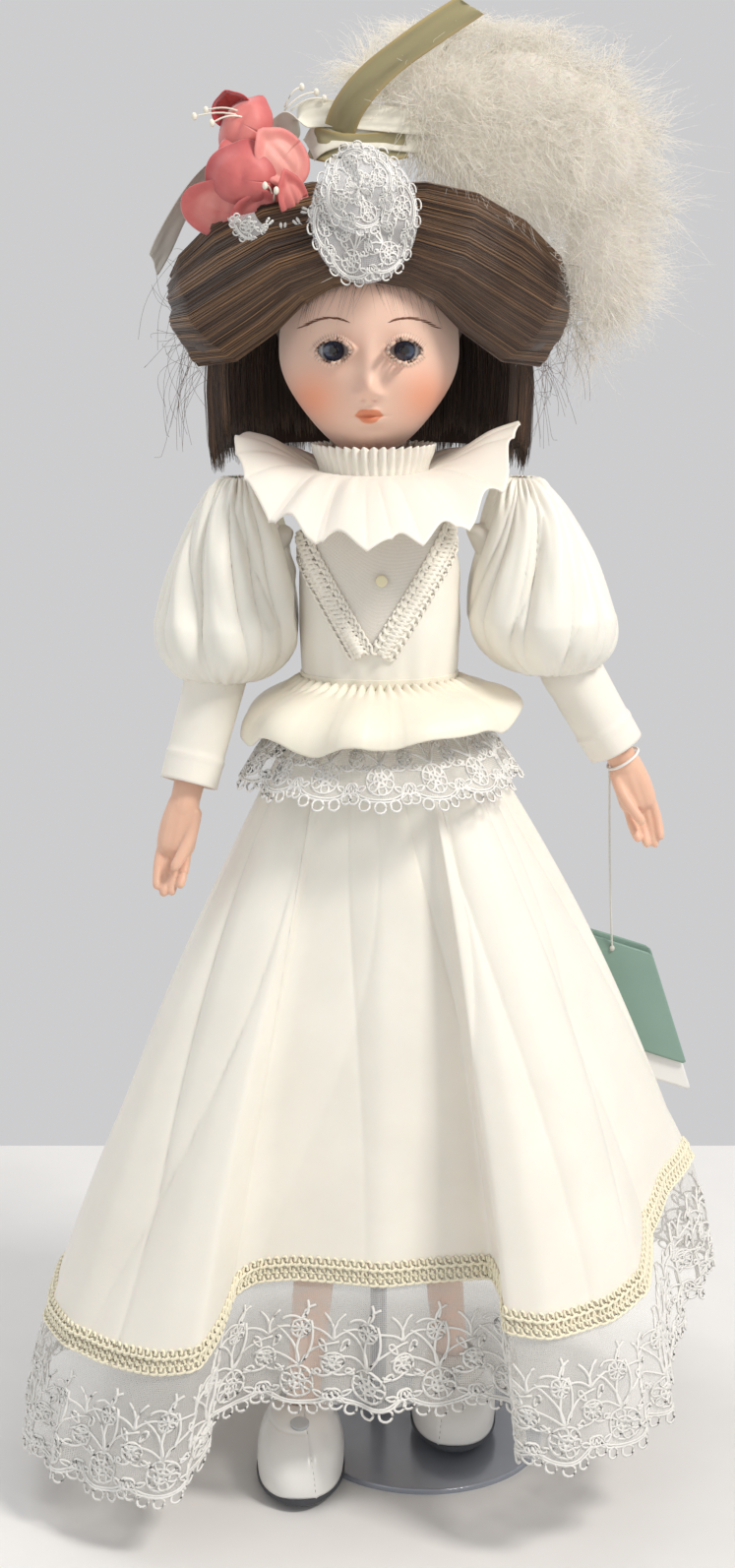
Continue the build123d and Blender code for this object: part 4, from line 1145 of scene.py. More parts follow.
def fallRows(first, last):
    # rows of control points from the crown down the back; each row is one direction round the head
    axisX, axisY = fallCut["axis"]
    return [[(axisX + r * math.sin(turn), axisY - r * math.cos(turn), z) for r, z in fallCut["line"]]
            for turn in np.radians(np.linspace(first, last, 12))]


def fallStrands(seed, inset):
    r = np.random.default_rng(seed)
    count, steps, top = fallCut["strands"], fallCut["steps"], fallCut["top"]
    across = r.uniform(0, 1, count)
    t = np.linspace(0, 1, steps)
    paths = sweep(fallRows(97, 263), across, t)
    shorter = 0.022 * inset + r.uniform(0.0, 0.07, count) + 0.04 * (0.5 + 0.5 * np.sin(across * 61 + seed))
    paths[..., 2] = top - (top - paths[..., 2]) * (1.02 - shorter[:, None])
    outward = (paths - np.array([*fallCut["axis"], 0])) * np.array([1, 1, 0])
    outward /= np.linalg.norm(outward, axis=-1, keepdims=True) + 1e-6
    lock = wobble(across[:, None] * 60, t[None, :] * 1.5, seed, 6, 0.6, 2.0)
    stray = strayHair(r, t, count, 0.5, 0.5, 2, 8)
    paths = paths + outward * (-inset + 1.0 * lock + stray)[..., None] * ease(t, 0.05, 0.3)[None, :, None]
    longer = r.normal(0, 2.0, (count, 1))
    paths[..., 2] += np.maximum(longer, -0.8) * t[None, :] ** 3
    tone = np.clip(0.42 + 0.3 * lock.mean(axis=1, keepdims=True) + r.normal(0, 0.2, (count, 1)), 0, 1)
    taper = np.concatenate([np.ones(steps - 3), [0.85, 0.6, 0.3]])[None, :]
    width = fallCut["radius"] * taper * r.uniform(0.7, 1.2, (count, 1))
    return paths, width, np.broadcast_to(tone, (count, steps))


under = sweep(fallRows(99, 261), np.linspace(0, 1, 120), np.linspace(0, 1, 50))
under = under + (np.array([*fallCut["axis"], 0]) - under) * np.array([1, 1, 0]) * 0.05
under[..., 2] = fallCut["top"] - (fallCut["top"] - under[..., 2]) * 0.93
# painted shade: the base under the fall takes a tone near the darkest hair colour, for the shade deep among the hair
fallBase = surfacePiece("fallBase", under, False, (150, 90), {"tone": np.full(120 * 50, 0.12)}, thick=0.8)
finishPiece(fallBase, "head", hair, ["hair_fall"])
for layer, inset in enumerate(fallCut["insets"]):
    paths, width, tone = fallStrands(70 + layer, inset)
    finishPiece(tubePiece(f"fallHair{layer}", paths, width, 3, False, {"tone": tone}), "head", hair)

wispCut = {"loose": 170, "looseRadius": 0.055, "fringe": 70, "fringeRadius": 0.05}


def flyaways(count, seed):
    # single hairs that leave the mass: each starts on a roll or a fall and wanders
    r = np.random.default_rng(seed)
    side = r.choice([-1, 1], count)
    t = np.linspace(0, 1, 12)
    start = np.stack([headX + side * r.uniform(50, 61, count), r.uniform(-6, 26, count),
                      r.uniform(372, 412, count)], axis=-1)
    drift = np.stack([side * r.uniform(-3, 15, count), r.uniform(-4, 6, count), r.uniform(-34, 14, count)], axis=-1)
    bow = np.stack([side * r.uniform(-2, 6, count), r.normal(0, 3, count), r.normal(0, 3, count)], axis=-1)
    paths = start[:, None] + drift[:, None] * t[None, :, None] + bow[:, None] * np.sin(math.pi * t)[None, :, None]
    paths[..., 2] = np.maximum(paths[..., 2], 346 + 6 * r.uniform(0, 1, (count, 1)))
    return paths


wisps = flyaways(wispCut["loose"], 91)
wispPiece = tubePiece("flyaways", wisps, wispCut["looseRadius"], 3, False, {"tone": np.full(wisps.shape[:2], 0.62)})
finishPiece(wispPiece, "head", hair)
r = np.random.default_rng(92)
count = wispCut["fringe"]
t = np.linspace(0, 1, 10)
x0 = r.uniform(-20, 20, count)
z0 = 402 - (np.abs(x0) / 20) ** 2 * 5
x = x0[:, None] + np.sign(x0)[:, None] * 3 * t + r.normal(0, 1.0, (count, 1)) * t ** 2
z = z0[:, None] - r.uniform(2, 13, (count, 1)) * t
fringe = facePoint(x, z, 0.5)
fringe[..., 1] -= 0.8 * np.sin(math.pi * t)[None, :]
fringePiece = tubePiece("foreheadWisps", fringe, wispCut["fringeRadius"] * (1.1 - t), 3, False,
                        {"tone": np.full((count, 10), 0.35)})
finishPiece(fringePiece, "head", hair)
print("hair ready")

silk, tree, shader = newMaterial("roseSilk", (0.75, 0.2, 0.2), 0.55, Sheen_Weight=0.6, Sheen_Roughness=0.35,
                                 Subsurface_Weight=0.1, Subsurface_Scale=0.003)
veins = put(tree, "ShaderNodeTexNoise", {"Scale": 260.0, "Detail": 4.0})
wire(tree, put(tree, "ShaderNodeTexCoord").outputs["Object"], veins.inputs["Vector"])
blot = put(tree, "ShaderNodeMath", {1: 0.35, 2: -0.17}, operation="MULTIPLY_ADD")
wire(tree, veins.outputs["Fac"], blot.inputs[0])
mixed = put(tree, "ShaderNodeMath", operation="ADD", use_clamp=True)
wire(tree, attribute(tree, "tone"), mixed.inputs[0])
wire(tree, blot.outputs[0], mixed.inputs[1])
toneRamp(tree, shader, mixed.outputs[0],
         [(0.0, (0.80, 0.36, 0.31)), (0.5, (0.66, 0.17, 0.16)), (1.0, (0.42, 0.055, 0.065))])
addRelief(tree, shader, veins.outputs["Fac"], 0.12, 0.0002)


def turned(points, yaw, pitch, roll):
    # turns local x (across), y (towards the viewer), z (up) by three angles in degrees
    y, p, r = (math.radians(a) for a in (yaw, pitch, roll))
    rollM = np.array([[math.cos(r), 0, math.sin(r)], [0, 1, 0], [-math.sin(r), 0, math.cos(r)]])
    pitchM = np.array([[1, 0, 0], [0, math.cos(p), -math.sin(p)], [0, math.sin(p), math.cos(p)]])
    yawM = np.array([[math.cos(y), -math.sin(y), 0], [math.sin(y), math.cos(y), 0], [0, 0, 1]])
    return points @ (yawM @ pitchM @ rollM).T


def petal(name, centre, size, yaw, pitch, roll, cup, curl, tone, seed):
    # a rounded leaf of cloth, cupped towards the viewer, with a curled, slightly waved rim and a soft point
    u, reach = grid(49, 33)
    angle = u * tau
    point = 1 + 0.16 * np.exp(-((np.mod(angle, tau) - math.pi / 2) / 0.22) ** 2) - 0.10 * np.cos(2 * angle)
    x = size[0] / 2 * reach * np.cos(angle) * point
    z = size[1] / 2 * reach * np.sin(angle) * point
    ruffle = wobble(angle, reach * 2, seed, 4, 1.0, 3.0)
    ruffle = ruffle * np.sin(angle / 2) ** 2 + ruffle[:1] * np.cos(angle / 2) ** 2
    rim = ease(reach, 0.55, 1.0)
    depth = cup * (1 - reach ** 2) - curl * rim * (1 + 0.4 * ruffle) + 1.1 * ruffle * rim
    crease = 0.8 * np.exp(-(x / (size[0] * 0.07)) ** 2) * (1 - reach * 0.6)
    local = stacked(x, depth + crease, z)
    points = turned(local, yaw, pitch, roll) + np.array(centre)
    shade = np.clip(tone + 0.28 * rim + 0.1 * ruffle, 0, 1)
    return surfacePiece(name, points, False, (30, 30), {"tone": shade.ravel()}, thick=0.35)


# centre, width and height, yaw, pitch, roll, cup, curl, tone
petalTable = [
    ((-46.5, -10, 455.5), (14, 11), 10, 30, -20, 3.0, 1.5, 0.72),
    ((-42.5, -14, 449.5), (18, 19), -12, -14, 24, -4.5, -2.5, 0.42),
    ((-31.5, -17, 439.5), (19, 18), 26, -10, -40, -3.2, 2.5, 0.08),
    ((-49.0, -14, 425.5), (29, 17), -14, 24, 12, -3.6, 3.0, 0.34),
    ((-37.0, -17, 424.0), (22, 14), 8, 28, -6, -3.0, 2.6, 0.40),
    ((-42.5, -20, 434.0), (27, 18.5), -4, 8, 8, -5.0, -2.5, 0.58),
    ((-28.0, -20, 427.0), (12, 17), 34, 6, -24, -3.4, 2.4, 0.36),
    ((-43.0, -17, 441.0), (16, 12), 0, -30, -10, -3.0, 1.6, 0.50),
]
leaves = [petal(f"petal{i}", *row, 300 + i) for i, row in enumerate(petalTable)]
finishPiece(joinPieces("silkRose", leaves), "head", silk, ["rose"])


def beadPiece(name, centre, half, radius, steps=10):
    # a round bead on an upright axis: its rings' heights are cosines and their radii sines of the same angle
    polar = np.linspace(0.02, math.pi - 0.02, steps)
    axis = np.array(centre) + np.stack([0 * polar, 0 * polar, half * np.cos(polar)], axis=-1)
    return tubePiece(name, axis[None], radius * np.sin(polar), 10)


pearl = grainedMaterial("stamenPearl", (0.86, 0.82, 0.70), 0.3, 1800, 0.03, 0.08, Coat_Weight=0.5)
stems = []
beads = []
# foot and tip of each stamen
for base, tip in (((-40, -15, 452), (-57.5, -18, 452.5)), ((-41, -15, 453), (-54, -16, 454.5)),
                  ((-41, -16, 452), (-52, -19, 450.5)), ((-33, -21, 428), (-35.5, -26, 431.5)),
                  ((-33, -21, 427), (-32, -27, 430)), ((-30, -8, 455), (-20, -8, 460.5)),
                  ((-30, -8, 456), (-24.5, -9, 462)), ((-28, -8, 455), (-17.5, -9, 458.5))):
    t = np.linspace(0, 1, 9)[:, None]
    path = np.array(base) * (1 - t) + np.array(tip) * t + np.array([0, -1.2, 1.4]) * np.sin(math.pi * t)
    stems.append(tubePiece("stem", path[None], 0.28, 6))
    beads.append(beadPiece("bead", tip, 1.25, 0.9))
finishPiece(joinPieces("roseStamens", stems + beads), "head", pearl, ["rose_stamens"])


def ribbonPiece(name, keys, wides, leans, material, replaced, wave, seed, tip=0.0):
    # a flat band along a smooth line: wides gives its width, leans the direction in which its width lies
    t = np.linspace(0, 1, 90)
    line = sweep([keys], np.array([0.0]), t)[0]
    wide = np.interp(t, np.linspace(0, 1, len(wides)), wides)
    lean = sweep([leans], np.array([0.0]), t)[0]
    along = np.gradient(line, axis=0)
    along /= np.linalg.norm(along, axis=-1, keepdims=True)
    lean = lean - along * (lean * along).sum(axis=-1, keepdims=True)
    lean /= np.linalg.norm(lean, axis=-1, keepdims=True)
    normal = np.cross(along, lean)
    across = np.linspace(-0.5, 0.5, 17)
    ripple = wave * wobble(t[:, None] * 5, across[None, :] * 4, seed)
    cupped = 0.5 * (across[None, :] * 2) ** 2
    points = line[:, None] + lean[:, None] * (wide[:, None] * across)[..., None]
    points = points + normal[:, None] * (ripple + cupped)[..., None]
    points = points + along[:, None] * (tip * across * ease(t, 0.8, 1.0)[:, None])[..., None]
    edge = np.broadcast_to(np.abs(across) * 2, ripple.shape)
    obj = surfacePiece(name, points, False, (60, 8), {"tone": edge.ravel()}, thick=0.25)
    finishPiece(obj, "head", material, replaced)


def ribbonMaterial(name, colour, edge):
    material, tree, shader = newMaterial(name, colour, 0.38, Sheen_Weight=0.3, Anisotropic=0.4)
    addWeave(tree, shader, colour, 260, 0.10, 0.08)
    inner = shader.inputs["Base Color"].links[0].from_socket
    sharp = put(tree, "ShaderNodeMapRange", {"From Min": 0.72, "From Max": 0.9})
    wire(tree, attribute(tree, "tone"), sharp.inputs["Value"])
    wire(tree, tintBy(tree, inner, sharp.outputs[0], edge, 0.7), shader.inputs["Base Color"])
    return material


ivoryRibbon = ribbonMaterial("ivoryRibbon", (0.82, 0.79, 0.68), (0.70, 0.66, 0.54))
# painted shade: the hanging tail takes the ivory ribbon with its colours darkened by about a fifth
shadedIvoryRibbon = ribbonMaterial("ivoryRibbonInShade", (0.66, 0.63, 0.57), (0.56, 0.53, 0.47))
oliveRibbon = ribbonMaterial("oliveRibbon", (0.33, 0.29, 0.15), (0.44, 0.33, 0.13))
ribbonPiece("creamRibbon",
            [(-36, -6, 441), (-31, -8, 449), (-22, -8, 455), (-10, -9, 453.5), (4, -9, 452), (20, -6, 451)],
            (10.1, 10, 9, 8, 7),
            [(0.7, 0, -0.7), (0.6, 0.1, -0.8), (0.1, 0.3, 1), (0, 0.3, 1), (0, 0.2, 1), (0, 0, 1)],
            ivoryRibbon, ["ribbon_cream"], 0.4, 5)
ribbonPiece("creamLoop", [(-22, -7, 443), (-18, -10, 448), (-8, -10, 449), (4, -9, 447), (14, -6, 446)],
            (10.1, 10, 9, 8), [(0.1, 0.2, 1)] * 5, ivoryRibbon, [], 0.3, 6)
ribbonPiece("oliveLoop", [(-21.5, -6, 446), (-19, -10, 444.5), (-12, -11, 443), (-2, -10.5, 443.5), (8, -8, 445)],
            (10.1, 10, 9, 9), [(0.05, 0.1, 1)] * 5, oliveRibbon, [], 0.4, 7)
ribbonPiece("oliveTail",
            [(-14, -6, 444), (-12, -14, 453), (-4, -18, 463), (6, -19, 471), (17, -19, 478.5), (27.5, -18, 485)],
            (10.1, 10, 9.5, 8.5),
            [(0.8, 0.1, -0.6), (0.85, 0.2, -0.5), (0.7, 0.4, -0.6), (0.5, 0.5, -0.7), (0.55, 0.3, -0.8),
             (0.5, 0.2, -0.8)],
            oliveRibbon, ["ribbon_olive"], 0.7, 8, tip=5.0)
ribbonPiece("hangingTail", [(-44, 2, 441), (-53, 0, 438), (-61, 0, 430), (-67, 1, 420), (-72.5, 1, 408.5)],
            (10.1, 10, 9, 8, 5),
            [(0.5, 0.7, -0.5), (0.5, 0.7, -0.4), (0.6, 0.7, 0.1), (0.7, 0.6, 0.1), (0.8, 0.6, 0.1)],
            shadedIvoryRibbon, ["ribbon_tail"], 0.5, 9, tip=6.0)


def fanLace(name, centre, inner, outer, span, start, lean, waves, seed, replaced, stretch):
    # a gathered round of lace: folds radiate from its middle and its scalloped rim stands off the hair
    length = math.radians(span) * (outer + inner) / 2 * 1.3
    depth = (outer - inner) * 1.12

    def surface(along, down, out=0.0):
        angle = math.radians(start) + np.asarray(along) / length * math.radians(span)
        share = np.asarray(down) / depth
        reach = inner + (outer - inner) * share
        fold = np.cos((angle * waves) + wobble(angle, share, seed, 3) * 0.8)
        x = reach * np.cos(angle)
        z = reach * np.sin(angle) * stretch
        y = -2.0 - 1.5 * fold * np.maximum(share, 0) ** 0.8 + 2.0 * share ** 2 - out
        return turned(stacked(x, y, z), 0, lean, 0) + np.array(centre)

    u, v = grid(150, 18)
    net = surfacePiece(f"{name}Net", surface(u * length, v * depth * 0.93), False, (length, depth))
    finishPiece(net, "head", organza, replaced)
    work = embroider(f"{name}Stitches", laceCurves(length, depth, 13.0), surface, 0.30, 0.2)
    finishPiece(work, "head", laceThread, replaced)


organza = netCloth("organza", (0.93, 0.93, 0.94), 0.30, 180.0)
fanLace("rosetteBack", (-5.0, -35, 422), 2.0, 17.5, 360, 100, -2, 5, 201, ["lace_rosette"], 1.22)
fanLace("rosetteFront", (-6.5, -37.5, 430), 1.0, 12.0, 360, 70, -4, 4, 203, (), 1.2)
fanLace("brimLace", (-30, -27, 426), 9.0, 18.5, 150, 195, 12, 6, 205, (), 0.9)

buckram = wovenMaterial("buckram", (0.80, 0.78, 0.70), 0.8, 120, 0.4, 0.1)

down, tree, shader = newMaterial("downBarbs", (0.93, 0.905, 0.85), 0.7, Sheen_Weight=0.5, Subsurface_Weight=0.25,
                                 Subsurface_Scale=0.004)
ramp = toneRamp(tree, shader, attribute(tree, "tone"), [(0.0, (0.91, 0.885, 0.845)), (1.0, (1.0, 0.97, 0.905))])
# the light that many barbs pass on to each other, which a few bounces cannot carry
wire(tree, ramp.outputs["Color"], shader.inputs["Emission Color"])
shader.inputs["Emission Strength"].default_value = 0.15
through = put(tree, "ShaderNodeBsdfTranslucent")
wire(tree, ramp.outputs["Color"], through.inputs["Color"])
both = put(tree, "ShaderNodeMixShader", {0: 0.55})
wire(tree, shader.outputs[0], both.inputs[1])
wire(tree, through.outputs[0], both.inputs[2])
wire(tree, both.outputs[0], tree.nodes["Material Output"].inputs["Surface"])

# layers of barbs: how many on each feather or lump, their reach and their radius
plumeCut = {"ribArch": (0, -3.0, 9.0), "ribRadius": 0.45, "knee": 476, "room": 11.5,
            "featherLayers": ((215, 19.0, 0.13), (215, 15.0, 0.15), (170, 23.0, 0.07)),
            "lumpLayers": ((900, 9.0, 0.20), (700, 13.0, 0.15), (450, 19.0, 0.10))}
# each feather's tip; all grow from behind the ribbon
plumeRoot = (6, -2, 445)
plumeTips = [(-6, 2, 466), (12, 6, 478), (34, 4, 484), (56, 8, 480), (76, 10, 468), (90, 10, 448),
             (94, 12, 424), (86, 10, 398), (70, 8, 378), (52, 2, 408), (36, -6, 426), (62, -8, 440), (30, -8, 456)]


def softTop(z):
    # heights above the knee are pressed together smoothly, so that no barb leaves the plume's height
    knee, room = plumeCut["knee"], plumeCut["room"]
    return np.minimum(z, knee) + room * (1 - np.exp(-np.maximum(z - knee, 0) / room))


def plumeBarbs(seed, count, reach):
    # fine barbs leave each feather's curved rib on all sides, lean to its tip, then droop and curl
    r = np.random.default_rng(seed)
    steps = 9
    t = np.linspace(0, 1, steps)
    root = np.array(plumeRoot, float)
    found, tones = [], []
    for tip in plumeTips:
        place = r.uniform(0.12, 1.0, count)[:, None] ** 0.8
        end = np.array(tip, float)
        arch = np.array(plumeCut["ribArch"]) * (1 if tip[2] > 420 else 1.4)
        rib = root + (end - root) * place + arch * np.sin(math.pi * place)
        ahead = (end - root) / np.linalg.norm(end - root)
        spray = r.normal(0, 1, (count, 3)) * np.array([1, 0.75, 1])
        spray -= ahead * (spray @ ahead)[:, None] * 0.8
        spray /= np.linalg.norm(spray, axis=-1, keepdims=True)
        lean = ahead * r.uniform(0.3, 0.9, (count, 1))
        size = reach * r.uniform(0.55, 1.15, (count, 1)) * (1.05 - 0.35 * place)
        heading = (spray + lean) * size
        curl = r.normal(0, 1, (count, 3)) * 0.16 * size
        droop = np.array([0, 0, -0.22]) * size
        path = rib[:, None] + heading[:, None] * t[None, :, None]
        path = path + curl[:, None] * (np.sin(t * 5.0) * t)[None, :, None]
        path = path + droop[:, None] * (t ** 2)[None, :, None]
        path = path + r.normal(0, 0.35, (count, steps, 3)) * t[None, :, None]
        found.append(path)
        # painted shade: the tone drops towards +x, greying that side of the plume, plus a random tone for each barb
        tone = np.clip(0.75 - 0.006 * (path[:, :1, 0] - 20) + r.normal(0, 0.15, (count, 1)), 0, 1)
        tones.append(np.broadcast_to(tone, (count, steps)))
    return np.concatenate(found), np.concatenate(tones)


for i, (count, reach, radius) in enumerate(plumeCut["featherLayers"]):
    paths, tones = plumeBarbs(120 + i, count, reach)
    paths[..., 1] = np.clip(paths[..., 1], -19, 36)
    paths[..., 2] = softTop(paths[..., 2])
    taper = radius * (1.05 - np.linspace(0, 1, paths.shape[1]) * 0.75)
    finishPiece(tubePiece(f"plumeBarbs{i}", paths, taper, 3, False, {"tone": tones}), "head", down,
                ["feather_plume"] if i == 0 else [])
# the thick of the down: short barbs standing on soft lumps; each lump is a middle and a half size
downLumps = [((18, 0, 457), (20, 11, 17)), ((44, 5, 460), (26, 14, 19)), ((66, 7, 444), (22, 14, 26)),
             ((72, 8, 412), (15, 11, 28)), ((44, 2, 438), (22, 12, 16))]


def lumpBarbs(seed, count, reach):
    r = np.random.default_rng(seed)
    steps = 7
    t = np.linspace(0, 1, steps)
    found = []
    for middle, half in downLumps:
        spot = r.normal(0, 1, (count, 3))
        spot /= np.linalg.norm(spot, axis=-1, keepdims=True)
        start = np.array(middle) + spot * np.array(half) * r.uniform(0.55, 0.85, (count, 1))
        heading = spot * 0.75 + r.normal(0, 0.45, (count, 3)) + np.array([0.45, 0, -0.45])
        heading *= reach * r.uniform(0.5, 1.2, (count, 1)) / np.linalg.norm(heading, axis=-1, keepdims=True)
        curl = r.normal(0, 1, (count, 3)) * 0.25 * reach
        path = start[:, None] + heading[:, None] * t[None, :, None] + curl[:, None] * (t ** 2)[None, :, None]
        found.append(path + r.normal(0, 0.3, (count, steps, 3)) * t[None, :, None])
    return np.concatenate(found)


u, v = grid(48, 32, True)
polar = 0.03 + (math.pi - 0.06) * v
cores = []
for i, (middle, half) in enumerate(downLumps):
    lumpy = 0.80 + 0.10 * wobble(u * tau, v * 5, 140 + i, 6, 1, 3)
    egg = stacked(middle[0] + half[0] * lumpy * np.sin(polar) * np.cos(u * tau),
                  middle[1] - half[1] * lumpy * np.sin(polar) * np.sin(u * tau),
                  middle[2] + half[2] * lumpy * np.cos(polar))
    cores.append(closeEnds(surfacePiece("downCore", egg, True, (30, 30), {"tone": np.full(u.size, 0.15)})))
finishPiece(joinPieces("downCores", cores), "head", down)
for i, (count, reach, radius) in enumerate(plumeCut["lumpLayers"]):
    paths = lumpBarbs(130 + i, count, reach)
    # painted shade: the tone drops towards +x, greying that side of the down, plus a random tone for each barb
    tones = np.clip(0.85 - 0.007 * (paths[:, :1, 0] - 20) + rng.normal(0, 0.28, (len(paths), 1)), 0, 1)
    paths[..., 2] = softTop(paths[..., 2])
    taper = radius * (1.05 - np.linspace(0, 1, paths.shape[1]) * 0.7)
    spread = {"tone": np.broadcast_to(tones, paths.shape[:2])}
    finishPiece(tubePiece(f"downBarbs{i}", paths, taper, 3, False, spread), "head", down)
t = np.linspace(0, 1, 20)[:, None]
arch = np.array(plumeCut["ribArch"]) * np.sin(math.pi * t)
ribs = np.array([np.array(plumeRoot) * (1 - t) + np.array(tip) * t + arch for tip in plumeTips])
quills = tubePiece("plumeRibs", ribs, plumeCut["ribRadius"] * (1.1 - t[:, 0]), 6)
finishPiece(quills, "head", pearl, ["feather_quill"])
print("hat ready")

puffCut = {"top": (46.0, 0.0, 340.5), "radius": 18.2, "neck": 4.5, "inner": 27.3, "thick": 0.45}
sleeveCut = {"reach": 0.88, "radius": 10.1, "narrows": 1.1, "cuffFrom": 0.80, "cuff": 0.35, "thick": 0.7}
# where each puff ends, then the points of the arm, and the direction of the hand
armLines = {-1: {"foot": (-51.5, 1, 273.5), "elbow": (-52.0, 1, 284), "wrist": (-64.6, -13, 234.5),
                 "hand": (-0.20, -0.12, -1)},
            1: {"foot": (57.0, 5, 275.5), "elbow": (57.5, 5, 287), "wrist": (83.5, 10.5, 243.5),
                "hand": (0.34, 0.02, -1)}}


def puffPoints(side, turn, v):
    # a gathered balloon: widest below its middle, drawn in at both ends, flat where it meets the bodice
    foot = np.array(armLines[side]["foot"], float)
    top = np.array(puffCut["top"]) * np.array([side, 1, 1])
    axis = top + (foot - top) * v[..., None]
    shut = np.sqrt(np.clip(1 - (np.clip(v - 0.70, 0, 1) / 0.31) ** 2.4, 0, 1))
    swell = 1.06 * np.clip(v / 0.70, 0, 1) ** 0.62 * shut
    lean = turn + 0.9 * (v - 0.5) * side
    folds = pleats(lean, v, 50 + side, (5, 7, 10), 1.8)
    fine = wavyAround(lean, v * 5.0, 60 + side, (11, 16, 21), 1.3)
    dents = wobble(turn, v * 7.0, 55 + side, 6, 0.5, 1.6) * np.cos(turn / 2) ** 2
    ends = np.exp(-(v / 0.12) ** 2) + np.exp(-((1 - v) / 0.10) ** 2)
    gathers = wavyAround(turn, v, 70 + side, (17, 23, 29)) * 1.6 * ends
    radius = puffCut["neck"] + puffCut["radius"] * swell
    radius = radius + (4.2 * folds + 2.6 * dents) * np.sin(math.pi * v) ** 0.6 + 0.6 * fine * (0.4 + ends) + gathers
    sag = -3.0 * np.sin(math.pi * v) ** 2 * (0.5 + 0.5 * np.cos(turn * 2))
    x = axis[..., 0] + radius * np.sin(turn)
    y = axis[..., 1] - radius * np.cos(turn) * 1.06
    z = axis[..., 2] + sag * 0.4 + 1.2 * fine * np.sin(math.pi * v)
    held = side * x
    limit = puffCut["inner"] + 0.5 + 0.5 * np.sin(v * 17 + turn * 3)
    held = np.where(held < limit, limit + (held - limit) * 0.06, held)
    return stacked(side * held, y, z)


def sleeveFrame(start, end):
    ahead = end - start
    length = np.linalg.norm(ahead)
    ahead = ahead / length
    across = np.cross(ahead, np.array([0, 1.0, 0]))
    across /= np.linalg.norm(across)
    return ahead, across, np.cross(across, ahead), length


for side, word in ((-1, "right"), (1, "left")):
    body = f"arm_{word}"
    turn, v = around(260, 72)
    puff = surfacePiece(f"puffSleeve_{word}", puffPoints(side, turn, v), True, (140, 75), thick=puffCut["thick"])
    finishPiece(puff, body, satin, [f"sleeve_puff_{word}"])
    start, wrist = np.array(armLines[side]["elbow"], float), np.array(armLines[side]["wrist"], float)
    end = start + (wrist - start) * sleeveCut["reach"]
    ahead, across, fore, length = sleeveFrame(start, end)
    turn, v = around(120, 50)
    rings = np.sin(v * 26 + 1.2 * np.sin(turn + side)) * np.exp(-(v / 0.35) ** 2) * 0.5
    rings = rings * (0.5 + 0.5 * np.cos(turn + 0.7))
    soft = wavyAround(turn, v * 3, 80 + side, (2, 3, 5)) * 0.45
    cuff = sleeveCut["cuff"] * ease(v, sleeveCut["cuffFrom"], sleeveCut["cuffFrom"] + 0.015)
    edge = 0.4 * np.exp(-((v - sleeveCut["cuffFrom"]) / 0.02) ** 2)
    radius = sleeveCut["radius"] - sleeveCut["narrows"] * v + rings + soft + cuff + edge
    sleeve = (start + ahead * (length * v)[..., None] + across * (radius * np.sin(turn))[..., None]
              + fore * (radius * np.cos(turn) * 0.92)[..., None])
    cuffPiece = surfacePiece(f"lowerSleeve_{word}", sleeve, True, (62, 55), thick=sleeveCut["thick"])
    finishPiece(cuffPiece, body, satin, [f"sleeve_lower_{word}"])
print("sleeves ready")


def capsule(name, line, radii):
    # a rounded tube along a smooth line, closed by half-round ends
    t = np.linspace(0, 1, 24)
    path = sweep([line], np.array([0.0]), t)[0]
    radius = np.interp(t, np.linspace(0, 1, len(radii)), radii)
    cap = np.linspace(0.97, 0.0, 7)
    first, last = path[0] - path[1], path[-1] - path[-2]
    first, last = first / np.linalg.norm(first), last / np.linalg.norm(last)
    start = path[0] + first * (cap * radius[0])[:, None]
    tail = path[-1] + last * (cap[::-1] * radius[-1])[:, None]
    full = np.concatenate([start[:-1], path, tail[1:]])
    sizes = np.concatenate([radius[0] * np.sqrt(1 - cap[:-1] ** 2), radius,
                            radius[-1] * np.sqrt(1 - cap[::-1][1:] ** 2)])
    return tubePiece(name, full[None], sizes, 14)


limb = grainedMaterial("limbBisque", (0.80, 0.50, 0.36), 0.45, 900, 0.05, 0.10, Subsurface_Weight=0.18,
                       Subsurface_Scale=0.004, Sheen_Weight=0.25)
handCut = {"blend": 0.42, "soften": 5}
